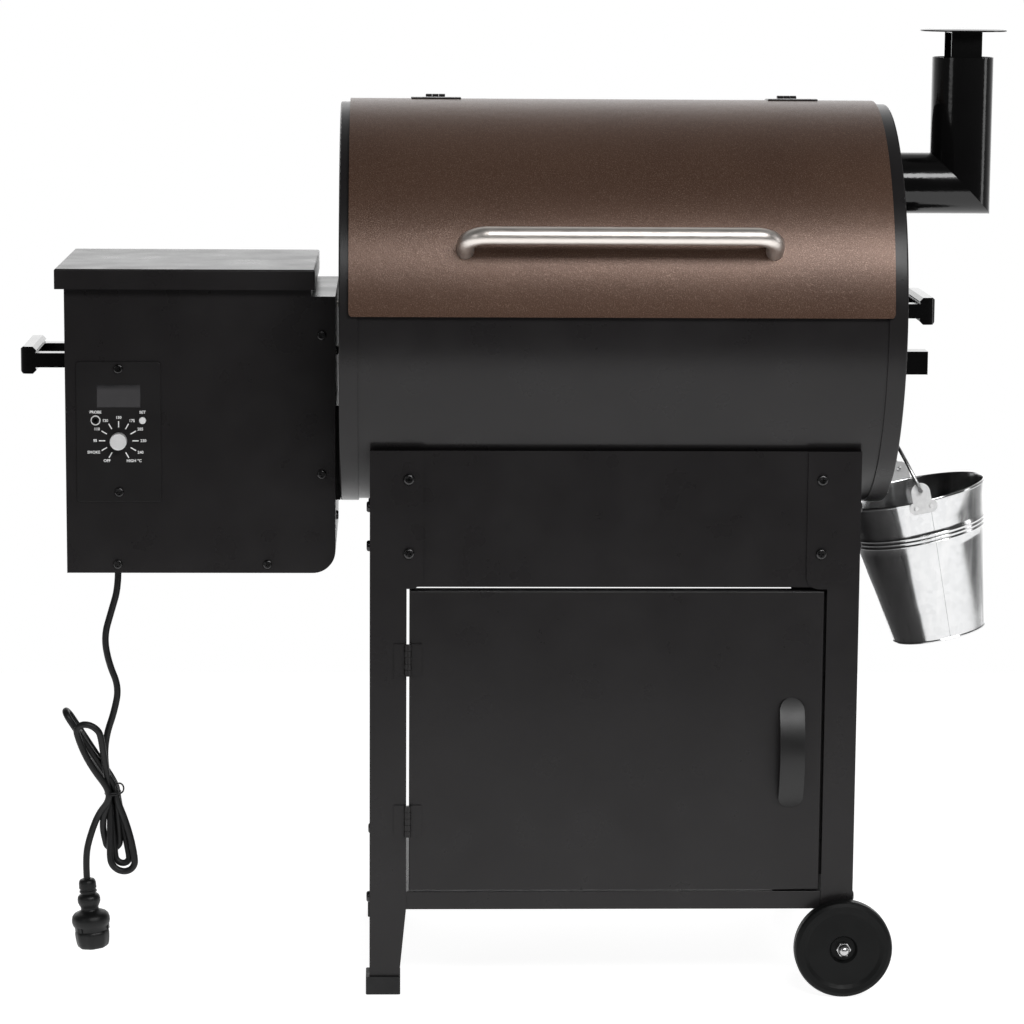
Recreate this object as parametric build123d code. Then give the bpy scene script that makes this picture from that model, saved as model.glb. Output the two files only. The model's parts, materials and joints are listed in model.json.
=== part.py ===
from build123d import *
import math
import os

# Electric pellet smoker: a horizontal barrel with a hinged lid on a cabinet cart, a pellet hopper
# with the controller on the left, and a chimney and grease bucket on the right.
# Millimetres. X runs to the right, Y to the back and Z up. The origin is on the floor, under the
# middle of the smoker's box. Spans are (low, high) pairs.

# ---- Driving dimensions --------------------------------------------------------------------------
SHEET = 2.0            # body and leg sheet
THIN = 1.5             # hopper, apron and shelf sheet
GAP = 0.3              # clearance between parts that move against each other
RUNNING = 0.05         # radial play of a pin or shaft in its bore

BARREL_X = (-193.0, 412.0)
BARREL_R = 222.0       # outside of the end caps
SHELL_R = 219.9        # outside of the barrel shell
AXIS_Z = 748.0
HANDLE_REACH = 246.0   # lid handle bar in front of the barrel axis
HANDLE_R = 9.5
AXIS_Y = (HANDLE_REACH + HANDLE_R - BARREL_R) / 2

LID_X = (-182.5, 397.5)
LID_R = 226.0
LID_SHEET = 2.5
LID_ANGLES = (1.5, 99.0)

HOPPER_X = (-492.0, -198.0)
HOPPER_Y = (AXIS_Y - 110.0, AXIS_Y + 130.0)
HOPPER_Z = (459.0, 764.0)
HOPPER_NECK_X1 = -224.0
HOPPER_NECK_Z = 778.0
HOPPER_CORNER_R = 25.0

CART_X = (-160.0, 372.0)
CART_HALF_Y = 175.0
APRON_Z = (455.0, 604.0)
SHELF_Z = (95.0, 115.0)
LEG_WIDTH = {"left": 40.0, "right": 35.0}
LEG_TOP_WIDTH = 58.0

DOOR_X = (-117.0, 334.0)
DOOR_Z = (117.0, 451.0)
DOOR_DEPTH = 18.0

WHEEL_R = 54.0
AXLE_X = 361.0
AXLE_R = 5.0

AUGER_Z = 590.0
FIRE_POT_X = 110.0

CHIMNEY_X = 497.5
CHIMNEY_Z = 883.0
CHIMNEY_R = 34.0
CHIMNEY_TOP = 1023.0

CORD_R = 3.75
CORD_Y = AXIS_Y - 80.0
CORD_EXIT_X = -438.5

CART_FRONT = AXIS_Y - CART_HALF_Y
CART_BACK = AXIS_Y + CART_HALF_Y
DOOR_Y = (CART_FRONT, CART_FRONT + DOOR_DEPTH)


# ---- Shapes used all over ------------------------------------------------------------------------
def block(x, y, z):
    """Box over three spans."""
    centre = [(low + high) / 2 for low, high in (x, y, z)]
    size = [high - low for low, high in (x, y, z)]
    return Pos(*centre) * Box(*size)


def rod(axis, span, centre, radius):
    """Round bar along one axis; centre is its place on the other two axes."""
    low, high = span
    a, b = centre
    place = {"x": (low, a, b), "y": (a, low, b), "z": (a, b, low)}[axis]
    along = {"x": (1, 0, 0), "y": (0, 1, 0), "z": (0, 0, 1)}[axis]
    return bar(place, along, high - low, radius)


def bar(start, along, length, radius):
    """Round bar from a point in any direction."""
    plane = Plane(origin=start, z_dir=along)
    return plane * Cylinder(radius, length, align=(Align.CENTER, Align.CENTER, Align.MIN))


def pipe(axis, span, centre, outer, inner):
    """Round tube along one axis."""
    return rod(axis, span, centre, outer) - rod(axis, span, centre, inner)


def prism(axis, span, points):
    """Flat outline drawn out along an axis; its points hold the other two coordinates."""
    low, high = span
    spread = {
        "x": lambda a, b: (low, a, b),
        "y": lambda a, b: (a, low, b),
        "z": lambda a, b: (a, b, low),
    }[axis]
    along = {"x": (1, 0, 0), "y": (0, 1, 0), "z": (0, 0, 1)}[axis]
    outline = Polyline(*[spread(a, b) for a, b in points], close=True)
    return extrude(make_face(outline), amount=high - low, dir=along)


def wire_along(points, radii, radius):
    """Round wire along straight runs joined by arcs."""
    path = FilletPolyline(*points, radius=radii)
    return sweep((path ^ 0) * Circle(radius), path=path)


def inset(span, amount):
    return (span[0] + amount, span[1] - amount)


def about(centre, half):
    return (centre - half, centre + half)


def barrel_point(radius, angle):
    """(Y, Z) of a point round the barrel; the angle goes up from the front, over the top."""
    turn = math.radians(angle)
    return (AXIS_Y - radius * math.cos(turn), AXIS_Z + radius * math.sin(turn))


def barrel_sheet(x, radii, angles):
    """Curved sheet round the barrel axis."""
    inner, outer = radii
    first, last = angles
    middle = (first + last) / 2
    at = lambda radius, angle: (x[0], *barrel_point(radius, angle))
    outline = [
        ThreePointArc(at(outer, first), at(outer, middle), at(outer, last)),
        Line(at(outer, last), at(inner, last)),
        ThreePointArc(at(inner, last), at(inner, middle), at(inner, first)),
        Line(at(inner, first), at(outer, first)),
    ]
    return extrude(make_face(outline), amount=x[1] - x[0], dir=(1, 0, 0))


def barrel_core(radius, x=(-600.0, 600.0)):
    return rod("x", x, (AXIS_Y, AXIS_Z), radius)


def barrel_half_width(radius, z):
    """Half the barrel's width in Y at a height."""
    return math.sqrt(radius ** 2 - (z - AXIS_Z) ** 2)


def circles_at(part, axis, place, radius):
    """Round edges of one radius at one place along an axis."""
    found = []
    for edge in part.edges().filter_by(GeomType.CIRCLE):
        where = getattr(edge.arc_center, axis)
        if abs(edge.radius - radius) < 0.01 and abs(where - place) < 0.01:
            found.append(edge)
    return found


# ---- Barrel --------------------------------------------------------------------------------------
END_RIM = 20.0
RAIL_TOP = 729.0
SPOUT_Z = (669.0, 695.0)
SPOUT_HALF = 13.0
SPOUT_REACH = 53.0
AUGER_TUBE_R = 27.0
DUCT_Y = (AXIS_Y + 34.0, AXIS_Y + 62.0)
DUCT_Z = (544.0, 566.0)
PROBE_PLACE = (AXIS_Y - 60.0, 751.0)
PROBE_R = 3.0


def barrel_shell():
    """Open barrel with the two ledges that carry the grates."""
    x = inset(BARREL_X, SHEET)
    inner = SHELL_R - SHEET
    shell = barrel_sheet(x, (inner, SHELL_R), (-264.0, 4.0))
    ledge_edge = barrel_half_width(inner + 0.5, RAIL_TOP)
    ledge_width = 14.0
    for side in (-1, 1):
        y = sorted((AXIS_Y + side * ledge_edge, AXIS_Y + side * (ledge_edge - ledge_width)))
        shell += block(x, y, (RAIL_TOP - SHEET, RAIL_TOP))
    return shell


def barrel_end(face_x, inward):
    """Pressed end disc whose rim turns over the shell."""
    disc = rod("x", sorted((face_x, face_x + inward * SHEET)), (AXIS_Y, AXIS_Z), BARREL_R)
    rim_x = sorted((face_x + inward * SHEET, face_x + inward * END_RIM))
    end = disc + pipe("x", rim_x, (AXIS_Y, AXIS_Z), BARREL_R, BARREL_R - SHEET)
    return fillet(circles_at(end, "X", face_x, BARREL_R), 1.6)


def barrel_end_left():
    end = barrel_end(BARREL_X[0], 1)
    wall = about(BARREL_X[0], 10.0)
    end -= rod("x", wall, (AXIS_Y, AUGER_Z), AUGER_TUBE_R + 0.1)
    end -= block(wall, DUCT_Y, DUCT_Z)
    end -= rod("x", wall, PROBE_PLACE, PROBE_R + 0.1)
    return end


def barrel_end_right():
    end = barrel_end(BARREL_X[1], -1)
    wall = about(BARREL_X[1], 10.0)
    end -= rod("x", wall, (AXIS_Y, CHIMNEY_Z), CHIMNEY_R - THIN)
    end -= block(wall, about(AXIS_Y, SPOUT_HALF - SHEET), inset(SPOUT_Z, SHEET))
    return end


def cooking_grates():
    """Two welded rod grates, side by side, resting on the ledges."""
    wire_r = 2.5
    half_y = 209.0
    frame_z = RAIL_TOP + wire_r
    bar_z = frame_z + 4.0
    middle = sum(BARREL_X) / 2
    pitch = 16.0
    grates = []
    for x in ((BARREL_X[0] + 6, middle - 2), (middle + 2, BARREL_X[1] - 6)):
        grate = Part()
        for y in (-half_y, 0.0, half_y):
            grate += rod("x", x, (AXIS_Y + y, frame_z), wire_r)
        count = int((x[1] - x[0] - 4 * wire_r) / pitch)
        start = (sum(x) - count * pitch) / 2
        for number in range(count + 1):
            grate += rod("y", about(AXIS_Y, half_y + 1.5), (start + number * pitch, bar_z), wire_r)
        grates.append(grate)
    return grates


def drip_tray():
    """Sloping grease tray; its tongue runs out into the spout."""
    left, right = BARREL_X[0] + 7, BARREL_X[1] - 7
    high, low = 694.0, 678.0
    half_y = 203.0
    lip = 14.0
    slope = [(left, high), (right, low), (right, low + THIN), (left, high + THIN)]
    side = [(left, high), (right, low), (right, low + lip), (left, high + lip)]
    tray = prism("y", about(AXIS_Y, half_y), slope)
    for edge in (-half_y, half_y - THIN):
        tray += prism("y", (AXIS_Y + edge, AXIS_Y + edge + THIN), side)
    tray += block((left, left + THIN), about(AXIS_Y, half_y), (high, high + lip))
    tongue_half = 9.0
    for y in ((AXIS_Y - half_y, AXIS_Y - tongue_half), (AXIS_Y + tongue_half, AXIS_Y + half_y)):
        tray += block((right - THIN, right), y, (low, low + lip))
    reach, drop = BARREL_X[1] + 10, 5.0
    upper_side = [(reach, low - drop + THIN), (right - 1, low + THIN)]
    tongue = [(right - 1, low), (reach, low - drop)] + upper_side
    return tray + prism("y", about(AXIS_Y, tongue_half), tongue)


POT_R = 45.0
POT_TOP = 634.0
POT_FLOOR = 548.0
IGNITER_Z = 557.0
IGNITER_R = 4.5
AIR_HOLE_Z = 572.0
AIR_HOLE_R = 5.0


def fire_pot():
    """Burn cup that stands on the barrel floor, and the plate that floors it."""
    centre = (FIRE_POT_X, AXIS_Y)
    wall = pipe("z", (500.0, POT_TOP), centre, POT_R, POT_R - SHEET) & barrel_core(SHELL_R - SHEET - 0.1)
    to_the_left = (0.0, FIRE_POT_X)
    wall -= rod("x", to_the_left, (AXIS_Y, AUGER_Z), AUGER_TUBE_R + 0.1)
    wall -= rod("x", to_the_left, (AXIS_Y, IGNITER_Z), IGNITER_R + 0.1)
    for y in (-1, 1):
        wall -= bar((*centre, AIR_HOLE_Z), (0, y, 0), POT_R + 5, AIR_HOLE_R)
    floor = rod("z", (POT_FLOOR, POT_FLOOR + SHEET), centre, POT_R - SHEET)
    return [wall, floor]


def igniter_rod():
    return rod("x", (-40.0, FIRE_POT_X - POT_R + 14), (AXIS_Y, IGNITER_Z), IGNITER_R)


def heat_baffle():
    """Roof over the fire pot: two sloped plates on two upright legs."""
    half_y, ridge, eave = 80.0, 660.0, 645.0
    leg_y, leg_top = 66.0, 645.0
    plates = []
    for side in (-1, 1):
        slope = [(0, ridge), (side * half_y, eave), (side * half_y, eave + SHEET), (0, ridge + SHEET)]
        outline = [(AXIS_Y + y, z) for y, z in slope]
        plates.append(prism("x", about(FIRE_POT_X, 85.0), outline))
        y = about(AXIS_Y + side * leg_y, SHEET / 2)
        leg = block(about(FIRE_POT_X, 50.0), y, (500.0, leg_top + 6)) & barrel_core(SHELL_R - SHEET - 0.1)
        roof_line = [(AXIS_Y, ridge), (AXIS_Y + side * half_y, eave)]
        below = [(y, 400.0) for y, z in reversed(roof_line)]
        plates.append(leg & prism("x", about(FIRE_POT_X, 60.0), roof_line + below))
    return plates


def temperature_probe():
    return rod("x", (HOPPER_X[1] + 1.0, -130.0), PROBE_PLACE, PROBE_R)


HOOK_TOP = 609.7
HOOK_HALF = 8.0


def grease_spout():
    """Square spout on the right end, with the bucket hook hanging below it."""
    face = BARREL_X[1]
    y = about(AXIS_Y, SPOUT_HALF)
    spout = block((face, face + SPOUT_REACH), y, SPOUT_Z)
    spout -= block((face - 1, face + SPOUT_REACH + 1), inset(y, SHEET), inset(SPOUT_Z, SHEET))
    strap = 3.0
    hook_floor = 3.5
    lip_x = (face + 9.0, face + 11.0)
    hook_y = about(AXIS_Y, HOOK_HALF)
    spout += block((face, face + strap), hook_y, (HOOK_TOP - hook_floor, SPOUT_Z[0] + 1))
    spout += block((face, lip_x[1]), hook_y, (HOOK_TOP - hook_floor, HOOK_TOP))
    spout += block(lip_x, hook_y, (HOOK_TOP - hook_floor, HOOK_TOP + 8))
    return spout


# ---- Lid -----------------------------------------------------------------------------------------
LID_HINGES_X = (-88.0, 308.0)
LID_HINGE_ANGLE = 105.0
LID_HINGE_RADIUS = 231.0
LID_HINGE = barrel_point(LID_HINGE_RADIUS, LID_HINGE_ANGLE)
LID_KNUCKLE_R = 5.5
LID_PIN_R = 2.5
LEAF = 1.6
LID_HANDLE_X = (-59.0, 269.0)
LID_HANDLE_BAR = (AXIS_Y - HANDLE_REACH, AXIS_Z + 94.0)
LID_HANDLE_FOOT = barrel_point(LID_R, 19.5)
LID_HANDLE_BEND = 24.0
LID_SCREW_R = 3.0
foot_to_bar = Vector(0, *LID_HANDLE_BAR) - Vector(0, *LID_HANDLE_FOOT)
POST_LENGTH = foot_to_bar.length
POST_WAY = foot_to_bar.normalized()


def handle_foot(x, back):
    """Point on a handle post's line, a distance behind the lid's face."""
    return Vector(x, *LID_HANDLE_FOOT) - POST_WAY * back


def lid():
    """Curved lid sheet with rounded front corners and a turned hem along its front edge."""
    sheet = barrel_sheet(LID_X, (LID_R - LID_SHEET, LID_R), LID_ANGLES)
    hem = 1.6
    sheet += barrel_sheet(LID_X, (LID_R - 2 * hem, LID_R - 1), (LID_ANGLES[0], LID_ANGLES[0] + 3.5))
    corner = 6.0
    bottom = barrel_point(LID_R, LID_ANGLES[0])[1] - 1
    for edge, inward in ((LID_X[0], 1), (LID_X[1], -1)):
        middle = (edge + inward * corner, bottom + corner)
        front = (AXIS_Y - 250.0, AXIS_Y - 190.0)
        square = block(sorted((edge - inward, middle[0])), front, (bottom - 5, middle[1]))
        sheet -= square - rod("y", front, middle, corner)
    for x in LID_HANDLE_X:
        sheet -= bar(handle_foot(x, 10.0), POST_WAY, 20.0, LID_SCREW_R + 0.3)
    return sheet


def lid_handle():
    """Bent stainless tube on two posts; each foot is cut to sit on the lid."""
    left, right = LID_HANDLE_X
    bar_line = LID_HANDLE_BAR
    points = [handle_foot(left, 12.0), (left, *bar_line), (right, *bar_line), handle_foot(right, 12.0)]
    handle = wire_along(points, [LID_HANDLE_BEND, LID_HANDLE_BEND], HANDLE_R)
    handle -= barrel_core(LID_R)
    for x in LID_HANDLE_X:
        handle -= bar(handle_foot(x, 10.0), POST_WAY, 26.0, LID_SCREW_R)
    return handle


def lid_handle_screws():
    """Screws through the lid into the handle's feet, their heads shaped to the lid's inside."""
    screws = []
    for x in LID_HANDLE_X:
        screw = bar(handle_foot(x, 9.0), POST_WAY, 22.0, LID_SCREW_R - RUNNING)
        head = bar(handle_foot(x, 12.0), POST_WAY, 14.0, 2 * LID_SCREW_R)
        screws.append(screw + (head & barrel_core(LID_R - LID_SHEET - RUNNING)))
    return screws


def knuckle_spans(centre, width, count=3):
    """Spans of a hinge's knuckles, a little apart; even ones belong to one leaf, odd to the other."""
    step = width / count
    start = centre - width / 2
    return [inset((start + n * step, start + (n + 1) * step), 0.2) for n in range(count)]


LID_KNUCKLES = 22.0


def lid_hinge_leaf(x, angles, radii, own):
    """One leaf: a curved plate on the barrel's or lid's face and the webs up to its knuckles."""
    plate = barrel_sheet(about(x, 27.5), radii, angles)
    meet = angles[1] if angles[0] < 100 else angles[0]
    hinge_y, hinge_z = LID_HINGE
    spread = (0.0, 0.8) if angles[0] < 100 else (0.8, 0.0)
    web = [barrel_point(radii[0], meet), barrel_point(radii[1], meet),
           (hinge_y + spread[0], hinge_z + spread[1]), (hinge_y - spread[0], hinge_z - spread[1])]
    for number, span in enumerate(knuckle_spans(x, LID_KNUCKLES)):
        if number % 2 == own:
            plate += prism("x", span, web) + rod("x", span, LID_HINGE, LID_KNUCKLE_R)
    return plate - rod("x", about(x, 30.0), LID_HINGE, LID_PIN_R + RUNNING)


def lid_hinge_leaves():
    return [lid_hinge_leaf(x, (88.0, 101.5), (LID_R, LID_R + LEAF), 0) for x in LID_HINGES_X]


# ---- Chimney -------------------------------------------------------------------------------------
def chimney_side(upright):
    """Large block on one side of the mitre plane between the two chimney pipes."""
    reach = 400.0
    tip = (CHIMNEY_X + reach, CHIMNEY_Z - reach)
    heel = (CHIMNEY_X - reach, CHIMNEY_Z + reach)
    third = (CHIMNEY_X + reach, CHIMNEY_Z + reach) if upright else (CHIMNEY_X - reach, CHIMNEY_Z - reach)
    return prism("y", about(AXIS_Y, 200.0), [tip, heel, third])


def chimney_inlet():
    """Level pipe out of the barrel's end, with its fixing flange."""
    face = BARREL_X[1]
    line = (AXIS_Y, CHIMNEY_Z)
    solid = rod("x", (face, CHIMNEY_X + 60), line, CHIMNEY_R) & chimney_side(False)
    inlet = solid + rod("x", (face, face + THIN), line, CHIMNEY_R + 11)
    bore = rod("x", (face - 1, CHIMNEY_X + 60), line, CHIMNEY_R - THIN)
    return inlet - bore


def chimney_stack():
    """Upright pipe, mitred onto the level one."""
    line = (CHIMNEY_X, AXIS_Y)
    solid = rod("z", (CHIMNEY_Z - 60, CHIMNEY_TOP), line, CHIMNEY_R)
    bore = rod("z", (CHIMNEY_Z - 60, CHIMNEY_TOP + 1), line, CHIMNEY_R - THIN)
    return (solid - bore) & chimney_side(True)


CAP_Z = (1052.5, 1055.5)
CAP_R = 48.0
STRAP_HALF_Y = 26.0


def chimney_cap():
    """Shallow rain cap with a rolled edge."""
    low, high = CAP_Z
    edge = [(CAP_R - 5, low), (CAP_R, low - 1), (CAP_R, low + 0.6), (CAP_R - 6, low + 1.8)]
    profile = [(0, low), *edge, (0, high)]
    outline = Polyline(*[(CHIMNEY_X + r, AXIS_Y, z) for r, z in profile], close=True)
    return revolve(make_face(outline), Axis((CHIMNEY_X, AXIS_Y, 0), (0, 0, 1)))


def chimney_cap_strap():
    """Bent strap that stands in the stack and carries the cap."""
    x = about(CHIMNEY_X, 17.0)
    foot = 998.0
    outer = block(x, about(AXIS_Y, STRAP_HALF_Y), (foot, CAP_Z[0] - 1))
    strap = outer - block(x, about(AXIS_Y, STRAP_HALF_Y - THIN), (foot - 1, CAP_Z[0] - 1 - THIN))
    for side in (-1, 1):
        y = sorted((AXIS_Y + side * (STRAP_HALF_Y - 1), AXIS_Y + side * (CHIMNEY_R - THIN - 0.2)))
        strap += rod("y", y, (CHIMNEY_X, foot + 12), 3.0)
    return strap + rod("z", (CAP_Z[0] - 2, CAP_Z[0]), (CHIMNEY_X, AXIS_Y), 8.0)


# ---- Hopper --------------------------------------------------------------------------------------
HOPPER_LID_X = (-501.5, -220.0)
HOPPER_LID_Y = (HOPPER_Y[0] - 12.0, HOPPER_Y[1] + 10.0)
HOPPER_LID_Z = (772.0, 794.0)
HOPPER_HINGE = (HOPPER_LID_Y[1] + 4.0, 775.0)
HOPPER_HINGES_X = (-440.0, -282.0)
HOPPER_KNUCKLES = 42.0
HOPPER_KNUCKLE_R = 3.6
HOPPER_PIN_R = 1.8
BIN_X = (-486.0, -230.0)
BIN_Y = inset(HOPPER_Y, 6.0)
BIN_NECK_Z = 722.0
BIN_MOUTH_X = (-425.0, -330.0)
BIN_MOUTH_Y = about(AXIS_Y, 22.0)
FAN_CENTRE = (-420.0, 522.0)
FAN_R = 42.0
FAN_Y = (AXIS_Y + 32.0, AXIS_Y + 66.0)
PLATE_X = (-480.0, -388.0)
PLATE_Z = (538.0, 692.0)
PANEL_FACE = HOPPER_Y[0]
PLATE_FACE = PANEL_FACE - THIN
CORD_POCKET_TOP = 488.0
CORD_POCKET_HALF = 22.0
DISPLAY_X = (-457.5, -410.0)
DISPLAY_Z = (642.0, 667.0)
KNOB_PLACE = (-434.0, 605.5)
JACK_PLACE = (-459.0, 628.0)
BUTTON_PLACE = (-408.0, 628.0)
JACK_BORE_R = 1.8
BUTTON_TRAVEL = 1.2
PANEL_SCREWS = [(-212.8, 721.7), (-212.8, 568.7), (-436.5, 468.6), (-272.5, 468.6)]
PLATE_SCREWS = [(-434.0, 684.5), (-434.0, 548.8)]


def rounded_hopper(x, y, z, radius):
    """Block with its lower right edge bent to a radius."""
    body = block(x, y, z)
    edge = body.edges().filter_by(Axis.Y).sort_by(Axis.Z)[:2].sort_by(Axis.X)[-1]
    return fillet(edge, radius)


def hopper_housing():
    """Sheet box, open at the front: a neck that the lid closes over, a cord pocket and a mounting boss."""
    y = (HOPPER_Y[0] + THIN, HOPPER_Y[1])
    outer = rounded_hopper(HOPPER_X, y, HOPPER_Z, HOPPER_CORNER_R)
    neck = (HOPPER_X[0], HOPPER_NECK_X1)
    housing = outer + block(neck, y, (HOPPER_Z[1] - 5, HOPPER_NECK_Z))
    inner_y = (y[0] - 1, y[1] - THIN)
    housing -= rounded_hopper(inset(HOPPER_X, THIN), inner_y, inset(HOPPER_Z, THIN), HOPPER_CORNER_R - THIN)
    housing -= block(inset(neck, THIN), inset(y, THIN), (HOPPER_Z[1] - 8, HOPPER_NECK_Z + 1))
    pocket_x = about(CORD_EXIT_X, CORD_POCKET_HALF)
    pocket_y = (y[0], CORD_Y + CORD_POCKET_HALF)
    housing += block(pocket_x, pocket_y, (HOPPER_Z[0], CORD_POCKET_TOP))
    pocket_room = (pocket_y[0] - 1, pocket_y[1] - THIN)
    housing -= block(inset(pocket_x, THIN), pocket_room, (HOPPER_Z[0] - 1, CORD_POCKET_TOP - THIN))
    boss = block((HOPPER_X[1] - 1, BARREL_X[0]), about(AXIS_Y, 74.0), (535.0, 640.0))
    boss -= block((HOPPER_X[1] - 5, BARREL_X[0] + 1), about(AXIS_Y, 68.0), (541.0, 634.0))
    housing += boss
    wall = about(HOPPER_X[1], 3.0)
    housing -= rod("x", wall, (AXIS_Y, AUGER_Z), AUGER_TUBE_R + 0.1)
    housing -= block(wall, DUCT_Y, DUCT_Z)
    housing -= rod("x", wall, PROBE_PLACE, PROBE_R + 0.1)
    housing -= rod("z", about(CORD_POCKET_TOP, 5.0), (CORD_EXIT_X, CORD_Y), GLAND_NECK_R + 0.1)
    for place in HOPPER_SIDE_SCREWS:
        housing -= rod("x", wall, place, SCREW_R + 0.1)
    return housing


def hopper_front_panel():
    """Front sheet with the controller's openings."""
    y = (PANEL_FACE, PANEL_FACE + THIN)
    panel = rounded_hopper(HOPPER_X, y, HOPPER_Z, HOPPER_CORNER_R)
    panel += block((HOPPER_X[0], HOPPER_NECK_X1), y, (HOPPER_Z[1] - 1, HOPPER_NECK_Z))
    cut = about(PANEL_FACE, 5.0)
    panel -= block(DISPLAY_X, cut, DISPLAY_Z)
    for place, radius in CONTROL_HOLES:
        panel -= rod("y", cut, place, radius)
    for place in PANEL_SCREWS + PLATE_SCREWS:
        panel -= rod("y", cut, place, SCREW_R + 0.1)
    return panel


def pellet_bin():
    """Funnel that feeds the auger, hung by its rim from the neck of the housing."""
    def level(x, y, z, wall):
        x, y = inset(x, wall), inset(y, wall)
        return Plane.XY.offset(z) * Pos(sum(x) / 2, sum(y) / 2) * Rectangle(x[1] - x[0], y[1] - y[0])

    mouth_z = AUGER_Z + AUGER_TUBE_R + 1
    rim = (HOPPER_NECK_Z, HOPPER_NECK_Z + THIN)
    outer = loft([level(BIN_MOUTH_X, BIN_MOUTH_Y, mouth_z, 0), level(BIN_X, BIN_Y, BIN_NECK_Z, 0)])
    inner = loft([level(BIN_MOUTH_X, BIN_MOUTH_Y, mouth_z, THIN), level(BIN_X, BIN_Y, BIN_NECK_Z, THIN)])
    upper = block(BIN_X, BIN_Y, (BIN_NECK_Z, rim[1]))
    flange = block((HOPPER_X[0], HOPPER_NECK_X1), (HOPPER_Y[0] + THIN, HOPPER_Y[1]), rim)
    room = block(inset(BIN_X, THIN), inset(BIN_Y, THIN), (BIN_NECK_Z, rim[1] + 1))
    return outer + upper + flange - inner - room


def pellet_guard():
    """Welded finger guard across the bin."""
    wire_r = 2.0
    z = BIN_NECK_Z + 4
    x = inset(BIN_X, THIN + 0.3)
    y = inset(BIN_Y, THIN + 0.3)
    guard = Part()
    bars = 9
    for number in range(bars):
        guard += rod("x", x, (y[0] + (number + 0.5) * (y[1] - y[0]) / bars, z), wire_r)
    for place in (x[0] + 40, sum(x) / 2, x[1] - 40):
        guard += rod("y", y, (place, z + 3.2), wire_r)
    return guard


def hopper_hinge_parts(own, web):
    """Knuckles of one side of the hopper hinges, with the webs that carry them."""
    parts = []
    for x in HOPPER_HINGES_X:
        for number, span in enumerate(knuckle_spans(x, HOPPER_KNUCKLES)):
            if number % 2 == own:
                parts.append(rod("x", span, HOPPER_HINGE, HOPPER_KNUCKLE_R) + prism("x", span, web))
    return parts


def hopper_hinge_bores(part):
    for x in HOPPER_HINGES_X:
        part -= rod("x", about(x, 25.0), HOPPER_HINGE, HOPPER_PIN_R + RUNNING)
    return part


def hopper_lid():
    """Shallow cap with a skirt all round, its hinge knuckles behind."""
    cap = block(HOPPER_LID_X, HOPPER_LID_Y, HOPPER_LID_Z)
    cap = fillet(cap.edges().group_by(Axis.Z)[-1], 2.2)
    cap = fillet(cap.edges().filter_by(Axis.Z), 1.8)
    inside_z = (HOPPER_LID_Z[0] - 1, HOPPER_LID_Z[1] - THIN)
    cap -= block(inset(HOPPER_LID_X, THIN), inset(HOPPER_LID_Y, THIN), inside_z)
    back = HOPPER_LID_Y[1]
    web = [(back - 1, 781.0), (back - 1, 784.0), (HOPPER_HINGE[0], 778.0), (HOPPER_HINGE[0], 776.0)]
    for piece in hopper_hinge_parts(0, web):
        cap += piece
    return hopper_hinge_bores(cap)


def hopper_hinge_leaves():
    """Leaves on the housing's back that carry the middle knuckles."""
    back = HOPPER_Y[1]
    z = (735.0, 766.0)
    hinge_y, hinge_z = HOPPER_HINGE
    knuckle_side = [(hinge_y - 1, hinge_z - 3.2), (hinge_y + 2, hinge_z), (hinge_y + 2, 770.5)]
    web = [(back, z[1] - 2), (back, z[1])] + knuckle_side
    leaves = []
    for x, knuckle in zip(HOPPER_HINGES_X, hopper_hinge_parts(1, web)):
        leaf = block(about(x, HOPPER_KNUCKLES / 2), (back, back + LEAF), z)
        leaves.append(hopper_hinge_bores(leaf + knuckle))
    return leaves


# ---- Feed and fire drive, inside the hopper ------------------------------------------------------
GEARBOX_X = (-489.0, -459.0)
AUGER_SHAFT_R = 6.0
AUGER_FLIGHT_R = 24.0
AUGER_END = FIRE_POT_X - POT_R + 1


def auger_tube():
    """Feed tube from the gearbox to the fire pot, open under the bin."""
    tube = pipe("x", (GEARBOX_X[1], AUGER_END), (AXIS_Y, AUGER_Z), AUGER_TUBE_R, AUGER_TUBE_R - SHEET)
    return tube - block(inset(BIN_MOUTH_X, 2.0), about(AXIS_Y, 19.0), (AUGER_Z + 5, AUGER_Z + 30))


def auger_screw():
    """Feed screw: a shaft with one helical flight."""
    pitch, thickness = 42.0, 2.5
    start = GEARBOX_X[1] + 10
    length = AUGER_END - 4 - start
    middle_r = (AUGER_SHAFT_R + AUGER_FLIGHT_R) / 2
    helix = Helix(pitch, length, middle_r)
    section = Plane(origin=helix @ 0, x_dir=(1, 0, 0), z_dir=helix % 0)
    blade = Rectangle(AUGER_FLIGHT_R - AUGER_SHAFT_R + 1, thickness)
    flight = sweep(section * blade, path=helix, is_frenet=True)
    flight = Pos(start, AXIS_Y, AUGER_Z) * Rot(0, 90, 0) * flight
    return flight + rod("x", (GEARBOX_X[1] - 14, AUGER_END - 4), (AXIS_Y, AUGER_Z), AUGER_SHAFT_R)


def auger_motor():
    """Gearbox that turns the feed screw, with its motor on the side."""
    box = block(GEARBOX_X, about(AXIS_Y, 34.0), about(AUGER_Z, 34.0))
    box = fillet(box.edges().filter_by(Axis.X), 6.0)
    middle = sum(GEARBOX_X) / 2
    motor = rod("y", (AXIS_Y + 34, AXIS_Y + 82), (middle, AUGER_Z), 14.0)
    shaft_bore = rod("x", (GEARBOX_X[1] - 16, GEARBOX_X[1] + 1), (AXIS_Y, AUGER_Z), AUGER_SHAFT_R + RUNNING)
    return box + motor - shaft_bore


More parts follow.
